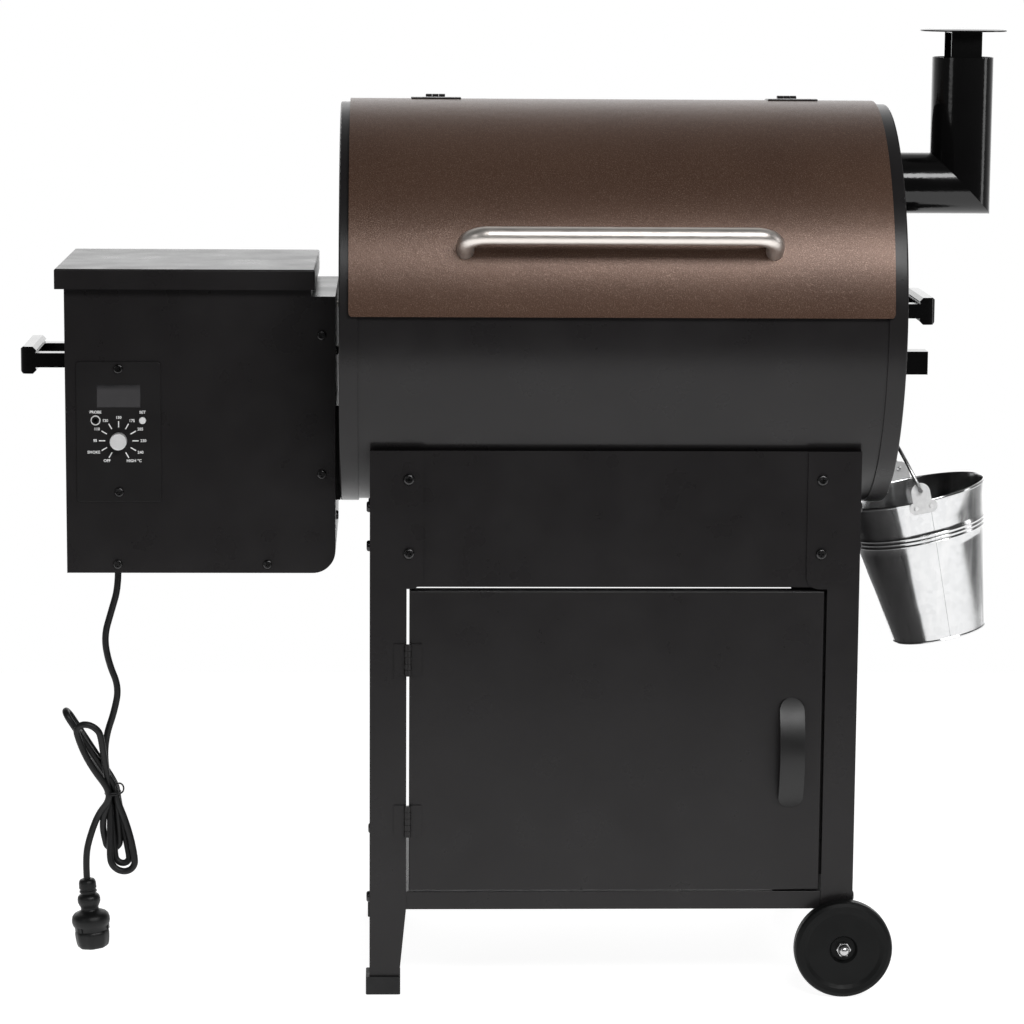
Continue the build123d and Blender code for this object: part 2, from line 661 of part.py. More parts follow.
def fan_housing():
    """Blower scroll and the duct that it feeds, as far as the fire pot's skirt."""
    x, z = FAN_CENTRE
    duct_end = FIRE_POT_X - POT_R - 17
    scroll = rod("y", FAN_Y, FAN_CENTRE, FAN_R)
    duct_y = inset(DUCT_Y, 0.1)
    duct_z = inset(DUCT_Z, 0.1)
    scroll += block((x, duct_end), duct_y, duct_z)
    scroll -= rod("y", inset(FAN_Y, THIN), FAN_CENTRE, FAN_R - THIN)
    scroll -= block((x, duct_end + 1), inset(duct_y, THIN), inset(duct_z, THIN))
    scroll -= rod("y", (FAN_Y[1] - 5, FAN_Y[1] + 1), FAN_CENTRE, 22.0)
    return scroll - rod("y", (FAN_Y[0] - 1, FAN_Y[0] + 5), FAN_CENTRE, 5.0)


def fan_impeller():
    """Squirrel-cage wheel on its shaft."""
    y0 = FAN_Y[0] + THIN + 2
    y1 = FAN_Y[1] - THIN - 2
    x, z = FAN_CENTRE
    wheel = rod("y", (y0, y0 + 1.5), FAN_CENTRE, 35.0)
    wheel += pipe("y", (y1 - 2, y1), FAN_CENTRE, 35.0, 28.0)
    blades = 24
    for number in range(blades):
        blade = block((28.5, 34.5), (y0 + 0.5, y1 - 0.5), (-0.7, 0.7))
        wheel += Pos(x, 0, z) * Rot(0, number * 360 / blades, 0) * blade
    return wheel + rod("y", (FAN_Y[0] - 12, y0 + 6), FAN_CENTRE, 3.0)


def fan_motor():
    motor = rod("y", (FAN_Y[0] - 26, FAN_Y[0]), FAN_CENTRE, 19.0)
    return motor - rod("y", (FAN_Y[0] - 13, FAN_Y[0] + 1), FAN_CENTRE, 3.0 + RUNNING)


# ---- Controller ----------------------------------------------------------------------------------
SCREW_R = 2.5
KNOB_R = 9.1
KNOB_DEPTH = 11.0
KNOB_SHAFT_R = 3.0
DIAL_OFF_ANGLE = -150.0
BUTTON_R = 3.8
JACK_R = 5.5
JACK_DEPTH = 16.0
CONTROL_HOLES = [
    (KNOB_PLACE, KNOB_SHAFT_R + GAP),
    (JACK_PLACE, JACK_R - 1.5),
    (BUTTON_PLACE, BUTTON_R + GAP),
]
BOX_DEPTH = 34.0
BOX_Y = (PANEL_FACE + THIN, PANEL_FACE + THIN + BOX_DEPTH)
HOPPER_SIDE_SCREWS = [(AXIS_Y - 60.0, 516.0), (AXIS_Y - 60.0, 700.0)]


def control_plate():
    """Trim plate of the controller, proud of the front panel."""
    y = (PLATE_FACE, PANEL_FACE)
    plate = block(PLATE_X, y, PLATE_Z)
    plate = fillet(plate.edges().filter_by(Axis.Y), 4.0)
    plate = fillet(plate.edges().group_by(Axis.Y)[0], 0.6)
    cut = about(PANEL_FACE, 5.0)
    plate -= block(DISPLAY_X, cut, DISPLAY_Z)
    for place, radius in CONTROL_HOLES:
        plate -= rod("y", cut, place, radius)
    for place in PLATE_SCREWS:
        plate -= rod("y", cut, place, SCREW_R + 0.1)
    return plate


def display_window():
    x = inset(DISPLAY_X, 0.1)
    z = inset(DISPLAY_Z, 0.1)
    return block(x, (PLATE_FACE + 0.4, BOX_Y[0] - 0.1), z)


def control_board_box():
    """Housing of the controller's electronics, open towards the panel."""
    x = inset(PLATE_X, 2.0)
    z = (PLATE_Z[0] + 18, PLATE_Z[1] - 22)
    box = block(x, BOX_Y, z) - block(inset(x, SHEET), (BOX_Y[0] - 1, BOX_Y[1] - SHEET), inset(z, SHEET))
    board_y = (BOX_Y[0] + 12, BOX_Y[0] + 14)
    box += block(inset(x, 1.0), board_y, inset(z, 1.0))
    for place, radius in ((KNOB_PLACE, KNOB_SHAFT_R + RUNNING), (JACK_PLACE, JACK_R - 1.4)):
        box -= rod("y", about(board_y[0], 3.0), place, radius)
    return box


def temperature_knob():
    """Round turned dial with a dished face and a mark that points at the setting."""
    y0 = PLATE_FACE - GAP
    face = y0 - KNOB_DEPTH
    knob = rod("y", (face, y0), KNOB_PLACE, KNOB_R)
    knob = fillet(circles_at(knob, "Y", face, KNOB_R), 0.9)
    knob -= rod("y", (face - 1, face + 0.4), KNOB_PLACE, KNOB_R - 1.8)
    mark = block((-0.6, 0.6), (face - 0.5, face + 0.9), (KNOB_R * 0.45, KNOB_R - 1.8))
    knob -= Pos(KNOB_PLACE[0], 0, KNOB_PLACE[1]) * Rot(0, DIAL_OFF_ANGLE, 0) * mark
    return knob + rod("y", (y0 - 1, BOX_Y[0] + 18), KNOB_PLACE, KNOB_SHAFT_R)


def set_button():
    y0 = PLATE_FACE - 2.6
    button = rod("y", (y0, PANEL_FACE + THIN + 3), BUTTON_PLACE, BUTTON_R)
    return fillet(circles_at(button, "Y", y0, BUTTON_R), 1.0)


def probe_jack():
    """Socket for the meat probe."""
    ring = rod("y", (PLATE_FACE - 1.5, PLATE_FACE), JACK_PLACE, JACK_R)
    ring = fillet(circles_at(ring, "Y", PLATE_FACE - 1.5, JACK_R), 0.8)
    ring += rod("y", (PLATE_FACE - 0.5, PLATE_FACE + JACK_DEPTH), JACK_PLACE, JACK_R - 1.6)
    return ring - rod("y", (PLATE_FACE - 2, PLATE_FACE + JACK_DEPTH - 2), JACK_PLACE, JACK_BORE_R)


def cross_recess(point, outward, height, size):
    """Two crossed slots cut into a screw head whose seat is at a point."""
    plane = Plane(origin=point, z_dir=outward)
    depth = height * 0.55
    arm = Pos(0, 0, height - depth / 2 + 0.5) * Box(size, size * 0.26, depth + 1.0)
    return plane * (arm + Rot(0, 0, 90) * arm)


def outer_rim(head, seat):
    """The head's round edge that is farthest from its seat."""
    rims = head.edges().filter_by(GeomType.CIRCLE)
    return rims.sort_by(lambda edge: (edge.arc_center - seat).length)[-1]


def screw(point, outward):
    """Pan-head cross-recess screw seated on a face."""
    height = 2.6
    head = bar(point, outward, height, 2 * SCREW_R)
    head = fillet(outer_rim(head, Vector(*point)), 1.5)
    head -= cross_recess(point, outward, height, SCREW_R * 2.1)
    tip = Vector(*point) - Vector(*outward) * 9.0
    return head + bar(tip, outward, 9.5, SCREW_R)


def hopper_screws():
    screws = [screw((x, PANEL_FACE, z), (0, -1, 0)) for x, z in PANEL_SCREWS]
    screws += [screw((x, PLATE_FACE, z), (0, -1, 0)) for x, z in PLATE_SCREWS]
    return screws + [screw((HOPPER_X[1], y, z), (1, 0, 0)) for y, z in HOPPER_SIDE_SCREWS]


# ---- Side handles --------------------------------------------------------------------------------
GRIP_REACH = 53.5
GRIP_HALF_Y = 59.0
GRIP_BAR = 18.0
GRIP_HALF_Z = 15.0
ARM_HALF_Z = 8.0


def side_handle(face_x, outward, z):
    """Lifting handle: a waisted grip bar that runs front to back on two arms."""
    tip = face_x + outward * GRIP_REACH
    outer = block(sorted((face_x, tip)), about(AXIS_Y, GRIP_HALF_Y), about(z, ARM_HALF_Z))
    hole_x = sorted((face_x - outward, tip - outward * GRIP_BAR))
    arms = outer - block(hole_x, about(AXIS_Y, GRIP_HALF_Y - GRIP_BAR), about(z, GRIP_HALF_Z))
    crook_x = tip - outward * GRIP_BAR
    crooks = [edge for edge in arms.edges().filter_by(Axis.Z) if abs(edge.center().X - crook_x) < 0.1]
    arms = fillet(crooks, 5.0)
    top = GRIP_HALF_Z
    half = [(0.0, top - 3), (3.0, top), (GRIP_BAR - 4, top), (GRIP_BAR, top - 4)]
    waist = GRIP_BAR - 2.5
    profile = half + [(waist, 3.0), (waist, -3.0)] + [(back, -up) for back, up in reversed(half)]
    outline = [(tip - outward * back, z + up) for back, up in profile]
    grip = prism("y", about(AXIS_Y, GRIP_HALF_Y), outline)
    return arms + grip - handle_ends(tip, outward, z)


def handle_ends(tip, outward, z):
    """Corner pieces that round off the grip's two outer ends."""
    corner = 9.0
    ends = Part()
    for side in (-1, 1):
        end_y = AXIS_Y + side * GRIP_HALF_Y
        centre = (tip - outward * corner, end_y - side * corner)
        x = sorted((centre[0], tip + outward))
        y = sorted((centre[1], end_y + side))
        tall = about(z, GRIP_HALF_Z + 1)
        ends += block(x, y, tall) - rod("z", tall, centre, corner)
    return ends


# ---- Cart ----------------------------------------------------------------------------------------
BOLT_R = 3.0
BOLT_HEAD_R = 6.0
BOLT_HEAD = 3.6
BOLT_INSET = 42.3
BOLT_HEIGHTS = (492.0, 573.0)
SIDE_BOLT_HEIGHTS = (105.0, 497.0, 540.0)
SIDE_BOLT_INSET = 20.0
TOE_WIDTH = 31.0
FOOT_HEIGHT = 20.0
AXLE_LEG_BOTTOM = 38.0
DOOR_STOP_Z = (130.0, 451.0)
SIDE_PANEL_INSET = 22.0


def cart_bolt_places():
    """Every cart bolt as a point on the outer face and an outward direction."""
    places = []
    for y, way in ((CART_FRONT, -1), (CART_BACK, 1)):
        for x in inset(CART_X, BOLT_INSET):
            places += [((x, y, z), (0, way, 0)) for z in BOLT_HEIGHTS]
    for x, way in ((CART_X[0], -1), (CART_X[1], 1)):
        for y in inset((CART_FRONT, CART_BACK), SIDE_BOLT_INSET):
            places += [((x, y, z), (way, 0, 0)) for z in SIDE_BOLT_HEIGHTS]
    return places


def cart_bolts():
    bolts = []
    for point, outward in cart_bolt_places():
        tip = Vector(*point) - Vector(*outward) * 8.0
        domed = bar(point, outward, BOLT_HEAD, BOLT_HEAD_R)
        domed = fillet(outer_rim(domed, tip), 2.4)
        domed -= cross_recess(point, outward, BOLT_HEAD, BOLT_R * 1.9)
        bolts.append(domed + bar(tip, outward, 8.5, BOLT_R))
    return bolts


def drill_bolts(part):
    """Clearance holes wherever a cart bolt passes through a part."""
    for point, outward in cart_bolt_places():
        tip = Vector(*point) - Vector(*outward) * 12.0
        part -= bar(tip, outward, 16.0, BOLT_R + 0.1)
    return part


def leg(side, end):
    """Folded sheet leg: a front or back flange, widened at the top, and a side flange."""
    outer = CART_X[0] if side == "left" else CART_X[1]
    inward = 1 if side == "left" else -1
    face = CART_FRONT if end == "front" else CART_BACK
    into = 1 if end == "front" else -1
    bottom = 3.0 if side == "left" else AXLE_LEG_BOTTOM
    width = LEG_WIDTH[side]
    flange_y = sorted((face, face + into * SHEET))
    flange = [(0, bottom), (TOE_WIDTH, bottom), (width, SHELF_Z[0]), (width, APRON_Z[1]), (0, APRON_Z[1])]
    front = prism("y", flange_y, [(outer + inward * a, z) for a, z in flange])
    inner = outer + inward * LEG_TOP_WIDTH
    shoulder = block(sorted((outer, inner)), flange_y, (APRON_Z[0] - 2, APRON_Z[1]))
    lower_edges = shoulder.edges().filter_by(Axis.Y).group_by(Axis.Z)[0].sort_by(Axis.X)
    front += fillet(lower_edges[-1] if inward > 0 else lower_edges[0], 14.0)
    depth = 40.0
    cheek = [(0, bottom), (TOE_WIDTH, bottom), (depth, SHELF_Z[0]), (depth, APRON_Z[1]), (0, APRON_Z[1])]
    flat = prism("x", sorted((outer, outer + inward * SHEET)), [(face + into * a, z) for a, z in cheek])
    folded = front + flat - barrel_core(SHELL_R + 0.6)
    if side == "right":
        folded -= rod("y", about(face, 5.0), (AXLE_X, WHEEL_R), AXLE_R + RUNNING)
    if side == "right" and end == "front":
        folded += block((DOOR_X[1] - 3, outer - 1), (DOOR_Y[1] + 0.6, DOOR_Y[1] + 0.6 + THIN), DOOR_STOP_Z)
    return drill_bolts(folded)


def long_apron(face, into):
    """Front or back panel under the barrel, its lower edge turned in."""
    x = inset(CART_X, SHEET)
    start = face + into * SHEET
    panel = block(x, sorted((start, start + into * THIN)), APRON_Z)
    panel += block(inset(x, 60.0), sorted((start, start + into * 16)), (APRON_Z[0], APRON_Z[0] + THIN))
    return drill_bolts(panel)


def side_apron(outer, inward):
    """Side wall of the cabinet; its upper edge is a saddle for the barrel."""
    y = inset((CART_FRONT, CART_BACK), SHEET + THIN + 0.1)
    x = sorted((outer + inward * SHEET, outer + inward * (SHEET + THIN)))
    panel = block(x, y, APRON_Z) - barrel_core(SHELL_R + 0.1)
    wall_y = inset((CART_FRONT, CART_BACK), SIDE_PANEL_INSET)
    panel += block(x, wall_y, (SHELF_Z[1] + 0.5, APRON_Z[0]))
    saddle_x = sorted((outer + inward * SHEET, outer + inward * 24))
    saddle = barrel_sheet(saddle_x, (SHELL_R + 0.1, SHELL_R + 0.1 + THIN), (-90.0 - 36.0, -90.0 + 36.0))
    return drill_bolts(panel + saddle)


def shelf():
    """Cabinet floor with its edges turned down."""
    x = inset(CART_X, SHEET + 0.1)
    y = inset((CART_FRONT, CART_BACK), SHEET + 0.1)
    pan = block(x, y, SHELF_Z)
    pan = fillet(pan.edges().group_by(Axis.Z)[-1].filter_by(Axis.X), 1.2)
    pan -= block(inset(x, THIN), inset(y, THIN), (SHELF_Z[0] - 1, SHELF_Z[1] - THIN))
    return drill_bolts(pan)


def foot_caps():
    """Moulded caps on the toes of the two left legs."""
    caps = []
    size, overhang = 38.0, 4.0
    x = (CART_X[0] - overhang, CART_X[0] - overhang + size)
    for end in ("front", "back"):
        y = (CART_FRONT - overhang, CART_FRONT - overhang + size)
        if end == "back":
            y = (CART_BACK + overhang - size, CART_BACK + overhang)
        cap = block(x, y, (0.0, FOOT_HEIGHT))
        cap = fillet(cap.edges().filter_by(Axis.Z), 2.5)
        caps.append(cap - leg("left", end))
    return caps


# ---- Door ----------------------------------------------------------------------------------------
DOOR_HINGE = (-118.5, CART_FRONT - 4.0)
DOOR_HINGES_Z = (375.0, 195.5)
DOOR_HINGE_HEIGHT = 35.0
DOOR_KNUCKLE_R = 3.5
DOOR_PIN_R = 1.7
DOOR_HANDLE_X = (287.0, 314.0)
DOOR_HANDLE_Z = (210.0, 333.0)
DOOR_HANDLE_REACH = 22.0


def door():
    """Pan-shaped door, its edges turned back and in."""
    sheet = 1.2
    lip = 10.0
    pan = block(DOOR_X, DOOR_Y, DOOR_Z)
    pan = fillet(pan.edges().group_by(Axis.Y)[0], 1.6)
    room = block(inset(DOOR_X, sheet), (DOOR_Y[0] + sheet, DOOR_Y[1] - sheet), inset(DOOR_Z, sheet))
    opening = block(inset(DOOR_X, lip), (DOOR_Y[1] - 3, DOOR_Y[1] + 1), inset(DOOR_Z, lip))
    return pan - room - opening


def door_hinge_leaf(z, into_door):
    """One leaf of a butt hinge and its knuckles."""
    own = 0 if into_door else 1
    axis_x, axis_y = DOOR_HINGE
    way = 1 if into_door else -1
    inner = axis_x + way * (DOOR_KNUCKLE_R + 0.5)
    plate_y = (CART_FRONT - LEAF, CART_FRONT)
    leaf = block(sorted((inner, axis_x + way * 15)), plate_y, about(z, DOOR_HINGE_HEIGHT / 2))
    for number, span in enumerate(knuckle_spans(z, DOOR_HINGE_HEIGHT, 5)):
        if number % 2 == own:
            leaf += rod("z", span, DOOR_HINGE, DOOR_KNUCKLE_R)
            web_y = (CART_FRONT - LEAF - 0.5, CART_FRONT - GAP - 0.2)
            leaf += block(sorted((axis_x, inner + way)), web_y, span)
    return leaf - rod("z", about(z, DOOR_HINGE_HEIGHT), DOOR_HINGE, DOOR_PIN_R + RUNNING)


def crescent_side(x, reach, z):
    """Face bounded by an arc that bows out from the door and its chord on the door."""
    low, high = z
    middle = (low + high) / 2
    bow = ThreePointArc((x, CART_FRONT, low), (x, CART_FRONT - reach, middle), (x, CART_FRONT, high))
    return make_face([bow, Line(bow @ 1, bow @ 0)])


def door_handle():
    """Pull with rounded ends that bows out smoothly from the door."""
    thick = 3.5
    foot = 14.0
    x = inset(DOOR_HANDLE_X, -2.0)
    width = x[1] - x[0]
    outside = extrude(crescent_side(x[0], DOOR_HANDLE_REACH, DOOR_HANDLE_Z), amount=width, dir=(1, 0, 0))
    hollow_z = inset(DOOR_HANDLE_Z, foot)
    hollow = extrude(crescent_side(x[0], DOOR_HANDLE_REACH - thick, hollow_z), amount=width, dir=(1, 0, 0))
    low, high = DOOR_HANDLE_Z
    middle = sum(DOOR_HANDLE_X) / 2
    radius = (DOOR_HANDLE_X[1] - DOOR_HANDLE_X[0]) / 2
    y = (CART_FRONT - DOOR_HANDLE_REACH - 1, CART_FRONT + 1)
    stadium = block(DOOR_HANDLE_X, y, (low + radius, high - radius))
    for z in (low + radius, high - radius):
        stadium += rod("y", y, (middle, z), radius)
    return (outside - hollow) & stadium


def door_catch():
    """Magnetic catch on the shelf, behind the door's lower edge."""
    body = block((286.0, 330.0), (DOOR_Y[1] + 0.6, DOOR_Y[1] + 15), (SHELF_Z[1], SHELF_Z[1] + 13))
    return fillet(body.edges().filter_by(Axis.Y).group_by(Axis.Z)[-1], 2.0)


# ---- Axle and wheels -----------------------------------------------------------------------------
WHEEL_Y = (CART_FRONT - 22.0, CART_FRONT - 1.0)
AXLE_HALF = CART_HALF_Y + 21.0
HUB_RECESS = 8.0


def wheel(end):
    """Moulded wheel with a dished face and a sunken hub, made for the front and turned for the back."""
    y0, y1 = WHEEL_Y
    bore = AXLE_R + RUNNING
    hub = [(bore, y0 + HUB_RECESS), (13.0, y0 + HUB_RECESS), (15.5, y0 + 3.0)]
    dish = [(40.0, y0 + 3.0), (44.0, y0 + 0.6), (49.0, y0), (52.5, y0 + 1.6), (WHEEL_R, y0 + 5.0)]
    tread = [(WHEEL_R, y1 - 5.0), (52.5, y1 - 1.6), (49.5, y1), (42.0, y1)]
    back = [(38.0, y1 - 5.0), (18.0, y1 - 5.0), (14.0, y1), (bore, y1)]
    profile = hub + dish + tread + back
    outline = Polyline(*[(AXLE_X + r, y, WHEEL_R) for r, y in profile], close=True)
    shape = revolve(make_face(outline), Axis((AXLE_X, 0, WHEEL_R), (0, 1, 0)))
    if end == "back":
        shape = Pos(2 * AXLE_X, 2 * AXIS_Y, 0) * Rot(0, 0, 180) * shape
    return shape


def axle():
    return rod("y", about(AXIS_Y, AXLE_HALF), (AXLE_X, WHEEL_R), AXLE_R)


def axle_nuts():
    """Domed cap nuts in the wheels' hubs."""
    nuts = []
    hexagon, dome_r = 6.0, 6.4
    inner = CART_HALF_Y + 22.0 - HUB_RECESS + GAP
    for way in (-1, 1):
        start = Vector(AXLE_X, AXIS_Y + way * inner, WHEEL_R)
        outward = (0, way, 0)
        seat = Plane(origin=start, x_dir=(1, 0, 0), z_dir=outward)
        nut = extrude(seat * RegularPolygon(8.0, 6), amount=hexagon)
        nut += bar(start, outward, hexagon + 2.0, dome_r)
        nut += Pos(*(start + Vector(*outward) * (hexagon + 2.0))) * Sphere(dome_r)
        nuts.append(nut - rod("y", about(AXIS_Y, AXLE_HALF), (AXLE_X, WHEEL_R), AXLE_R))
    return nuts


# ---- Grease bucket -------------------------------------------------------------------------------
BUCKET_RIM = (452.0, 536.3)      # X and Z of the middle of the rim
BUCKET_TILT = 12.2
BUCKET_HEIGHT = 167.0
BUCKET_RIM_R = 82.0
BUCKET_BASE_R = 53.0
BUCKET_BEAD = 1.2
EAR_RISE = 12.3
EAR_Y = (83.6, 85.4)
EAR_R = 10.5
BAIL_R = 2.0
BAIL_HOOK = (417.6, 612.0)
BAIL_ARM_Y = 89.0
lean = math.radians(BUCKET_TILT)
BUCKET_UP = (-math.sin(lean), math.cos(lean))


def along_bucket(height):
    """(X, Z) on the bucket's axis at a height above its rim."""
    return (BUCKET_RIM[0] + height * BUCKET_UP[0], BUCKET_RIM[1] + height * BUCKET_UP[1])


BUCKET_BASE = along_bucket(-BUCKET_HEIGHT)
BAIL_PIVOT = along_bucket(EAR_RISE)


def bucket_wall_radius(height):
    return BUCKET_BASE_R + (BUCKET_RIM_R - BUCKET_BASE_R) * height / BUCKET_HEIGHT


def bucket():
    """Ribbed sheet pail with two bail ears, leaning as it hangs."""
    wall = 1.0
    rib_heights = (116.5, 121.0, 125.5)
    outside = [(0.0, 0.0), (BUCKET_BASE_R, 0.0)]
    for height in rib_heights:
        radius = bucket_wall_radius(height)
        outside += [(radius - 0.2, height - 1.6), (radius + 0.8, height), (radius + 0.2, height + 1.6)]
    outside += [(bucket_wall_radius(160.0), 160.0), (BUCKET_RIM_R + BUCKET_BEAD, 162.5),
                (BUCKET_RIM_R + BUCKET_BEAD, BUCKET_HEIGHT)]
    inside = [(BUCKET_RIM_R - wall, BUCKET_HEIGHT), (BUCKET_BASE_R - wall, 3.0), (0.0, 3.0)]
    outline = Polyline(*[(r, 0, z) for r, z in outside + inside], close=True)
    pail = revolve(make_face(outline), Axis.Z)
    for side in (-1, 1):
        plate_y = sorted((side * EAR_Y[0], side * EAR_Y[1]))
        ear = block((-EAR_R, EAR_R), plate_y, (BUCKET_HEIGHT - 6, BUCKET_HEIGHT + 10))
        ear += rod("y", plate_y, (0.0, BUCKET_HEIGHT + 10), EAR_R)
        ear += block((-8.5, 8.5), plate_y, (BUCKET_HEIGHT - 14, BUCKET_HEIGHT))
        ear -= rod("y", plate_y, (0.0, BUCKET_HEIGHT + EAR_RISE), BAIL_R + GAP)
        for x in (-8.5, 8.5):
            ear += rod("y", plate_y, (x, BUCKET_HEIGHT - 7), 7.0)
            rivet_y = sorted((side * 79.0, side * (EAR_Y[1] + 1.0)))
            ear += rod("y", rivet_y, (x, BUCKET_HEIGHT - 7), 2.2)
        pail += ear
    return Pos(BUCKET_BASE[0], AXIS_Y, BUCKET_BASE[1]) * Rot(0, -BUCKET_TILT, 0) * pail


def bucket_bail():
    """Wire bail from ear to ear over the hook."""
    pivot = Vector(BAIL_PIVOT[0], AXIS_Y, BAIL_PIVOT[1])
    rise = Vector(BAIL_HOOK[0], AXIS_Y, BAIL_HOOK[1]) - pivot
    plane = Plane(origin=pivot, x_dir=(0, 1, 0), z_dir=Vector(0, 1, 0).cross(rise))
    arch = plane * EllipticalCenterArc((0, 0), BAIL_ARM_Y, rise.length, start_angle=0, arc_size=180)
    bail = sweep((arch ^ 0) * Circle(BAIL_R), path=arch)
    for side in (-1, 1):
        y = sorted((AXIS_Y + side * 81.5, AXIS_Y + side * (BAIL_ARM_Y + BAIL_R)))
        bail += rod("y", y, BAIL_PIVOT, BAIL_R)
    return bail


# ---- Mains cord ----------------------------------------------------------------------------------
GLAND_NECK_R = 6.0
GLAND_SEAT = CORD_POCKET_TOP - THIN
GLAND_END = GLAND_SEAT - 25.0
PLUG_TOP = (-477.0, 106.0)
PLUG_BOTTOM = (-470.5, 27.0)
TIE_PLACE = (-447.0, 205.0)
# Hand-set route of the cord, X and Z in the plane Y = CORD_Y.
CORD_DROP = [
    (CORD_EXIT_X, GLAND_END), (CORD_EXIT_X, 438.0), (-446.5, 411.0), (-455.0, 382.0), (-450.0, 352.0),
    (-439.0, 325.0), (-444.5, 297.0), (-453.5, 271.0), (-456.0, 244.0), (-448.0, 216.0),
]
CORD_TAIL = [(-452.0, 200.0), (-463.0, 181.0), (-472.0, 158.0), (-478.0, 132.0), PLUG_TOP]


def in_cord_plane(points):
    return [Vector(x, CORD_Y, z) for x, z in points]


def arc_radii(points):
    """Largest arc that each corner's two runs allow."""
    radii = []
    for before, here, after in zip(points, points[1:], points[2:]):
        turn = math.radians((here - before).get_angle(after - here))
        shorter = min((here - before).length, (after - here).length)
        radii.append(0.45 * shorter / math.tan(turn / 2))
    return radii


def cord_tube(route):
    points = in_cord_plane(route)
    radii = arc_radii(points)
    print("cord arc radii", [round(radius) for radius in radii])
    return wire_along(points, radii, CORD_R)


def ellipsoid(centre, half_sizes, tilt):
    """Egg-like solid in the cord's plane, turned about Y."""
    shape = scale(Sphere(1.0), by=half_sizes)
    return Pos(centre[0], CORD_Y, centre[1]) * Rot(0, tilt, 0) * shape


def cord_hank():
    """Outer shape of the folded hank: an upper and a lower bunch of loops, tied at the waist."""
    upper = ellipsoid((-472.5, 250.0), (19.0, 11.0, 54.0), -27.0)
    lower = ellipsoid((-441.5, 161.0), (18.0, 12.0, 51.0), -7.0)
    waist = bar((TIE_PLACE[0] - 2, CORD_Y, TIE_PLACE[1] + 8), (0.2, 0, -1), 16.0, 9.5)
    return upper + waist + lower


def cord_tubes():
    """Cord from the gland to the hank, and from the hank to the plug."""
    hank = cord_hank()
    drop = cord_tube(CORD_DROP) - hank
    tail = cord_tube(CORD_TAIL) - hank - plug()
    for tube in (drop, tail):
        print("cord length", round(tube.volume / (math.pi * CORD_R ** 2)))
    return [drop.solids().sort_by(SortBy.VOLUME)[-1], tail.solids().sort_by(SortBy.VOLUME)[-1]]


def cord_tie():
    """Wire twist round the hank's waist."""
    ring = Torus(11.6, 0.9)
    return Pos(TIE_PLACE[0] - 1.2, CORD_Y, TIE_PLACE[1]) * Rot(0, -12, 0) * ring


def cable_gland():
    """Clamp nut above the roof of the cord pocket and tapered sleeve below it."""
    flange_r, flange, nut_r, nut = 9.5, 4.0, 9.0, 8.0
    above = GLAND_SEAT + THIN
    profile = [(0, GLAND_END), (CORD_R + 0.8, GLAND_END), (CORD_R + 2.5, GLAND_SEAT - flange),
               (flange_r, GLAND_SEAT - flange), (flange_r, GLAND_SEAT), (GLAND_NECK_R, GLAND_SEAT),
               (GLAND_NECK_R, above), (nut_r, above), (nut_r, above + nut), (0, above + nut)]
    outline = Polyline(*[(CORD_EXIT_X + r, CORD_Y, z) for r, z in profile], close=True)
    return revolve(make_face(outline), Axis((CORD_EXIT_X, CORD_Y, 0), (0, 0, 1)))


PLUG_COLLAR = 40.0     # from the plug's top down to its collar's top
PLUG_CAP_TOP = 59.0


def along_plug(profile):
    """Turned shape on the plug's axis; heights are measured down from its top."""
    down = Vector(PLUG_BOTTOM[0] - PLUG_TOP[0], 0, PLUG_BOTTOM[1] - PLUG_TOP[1])
    plane = Plane(origin=(PLUG_TOP[0], CORD_Y, PLUG_TOP[1]), x_dir=(0, 1, 0), z_dir=down)
    outline = Polyline(*[(r, 0, height) for r, height in profile], close=True)
    return plane * revolve(make_face(outline), Axis.Z)


def plug():
    """Moulded plug: cable nut, waist and collar."""
    nut = [(5.5, 0), (9.0, 2.5), (9.8, 5), (9.8, 12), (9.2, 13.2), (9.8, 14.4), (9.8, 19)]
    waist = [(12.2, 21.5), (12.6, 28), (11.0, 33), (11.4, 37)]
    collar = [(17.0, PLUG_COLLAR), (20.8, 45), (21.6, 51), (20.6, PLUG_CAP_TOP)]
    return along_plug([(0, 0)] + nut + waist + collar + [(0, PLUG_CAP_TOP)])


def plug_cap():
    """Cover over the plug's pins."""
    end = (Vector(*PLUG_BOTTOM) - Vector(*PLUG_TOP)).length
    side = [(18.6, PLUG_CAP_TOP), (19.0, PLUG_CAP_TOP + 4), (17.6, end - 2.5), (15.0, end)]
    return along_plug([(0, PLUG_CAP_TOP)] + side + [(0, end)])


# ---- Pins and fixed leaves of all hinges ---------------------------------------------------------
def hinge_pins():
    pins = [rod("x", about(x, LID_KNUCKLES / 2), LID_HINGE, LID_PIN_R) for x in LID_HINGES_X]
    pins += [rod("x", about(x, HOPPER_KNUCKLES / 2), HOPPER_HINGE, HOPPER_PIN_R) for x in HOPPER_HINGES_X]
    return pins + [rod("z", about(z, DOOR_HINGE_HEIGHT / 2), DOOR_HINGE, DOOR_PIN_R) for z in DOOR_HINGES_Z]


def fixed_hinge_leaves():
    on_shell = (SHELL_R + 0.1, SHELL_R + 0.1 + LEAF)
    barrel = [lid_hinge_leaf(x, (108.5, 122.0), on_shell, 1) for x in LID_HINGES_X]
    return barrel + hopper_hinge_leaves() + [door_hinge_leaf(z, False) for z in DOOR_HINGES_Z]


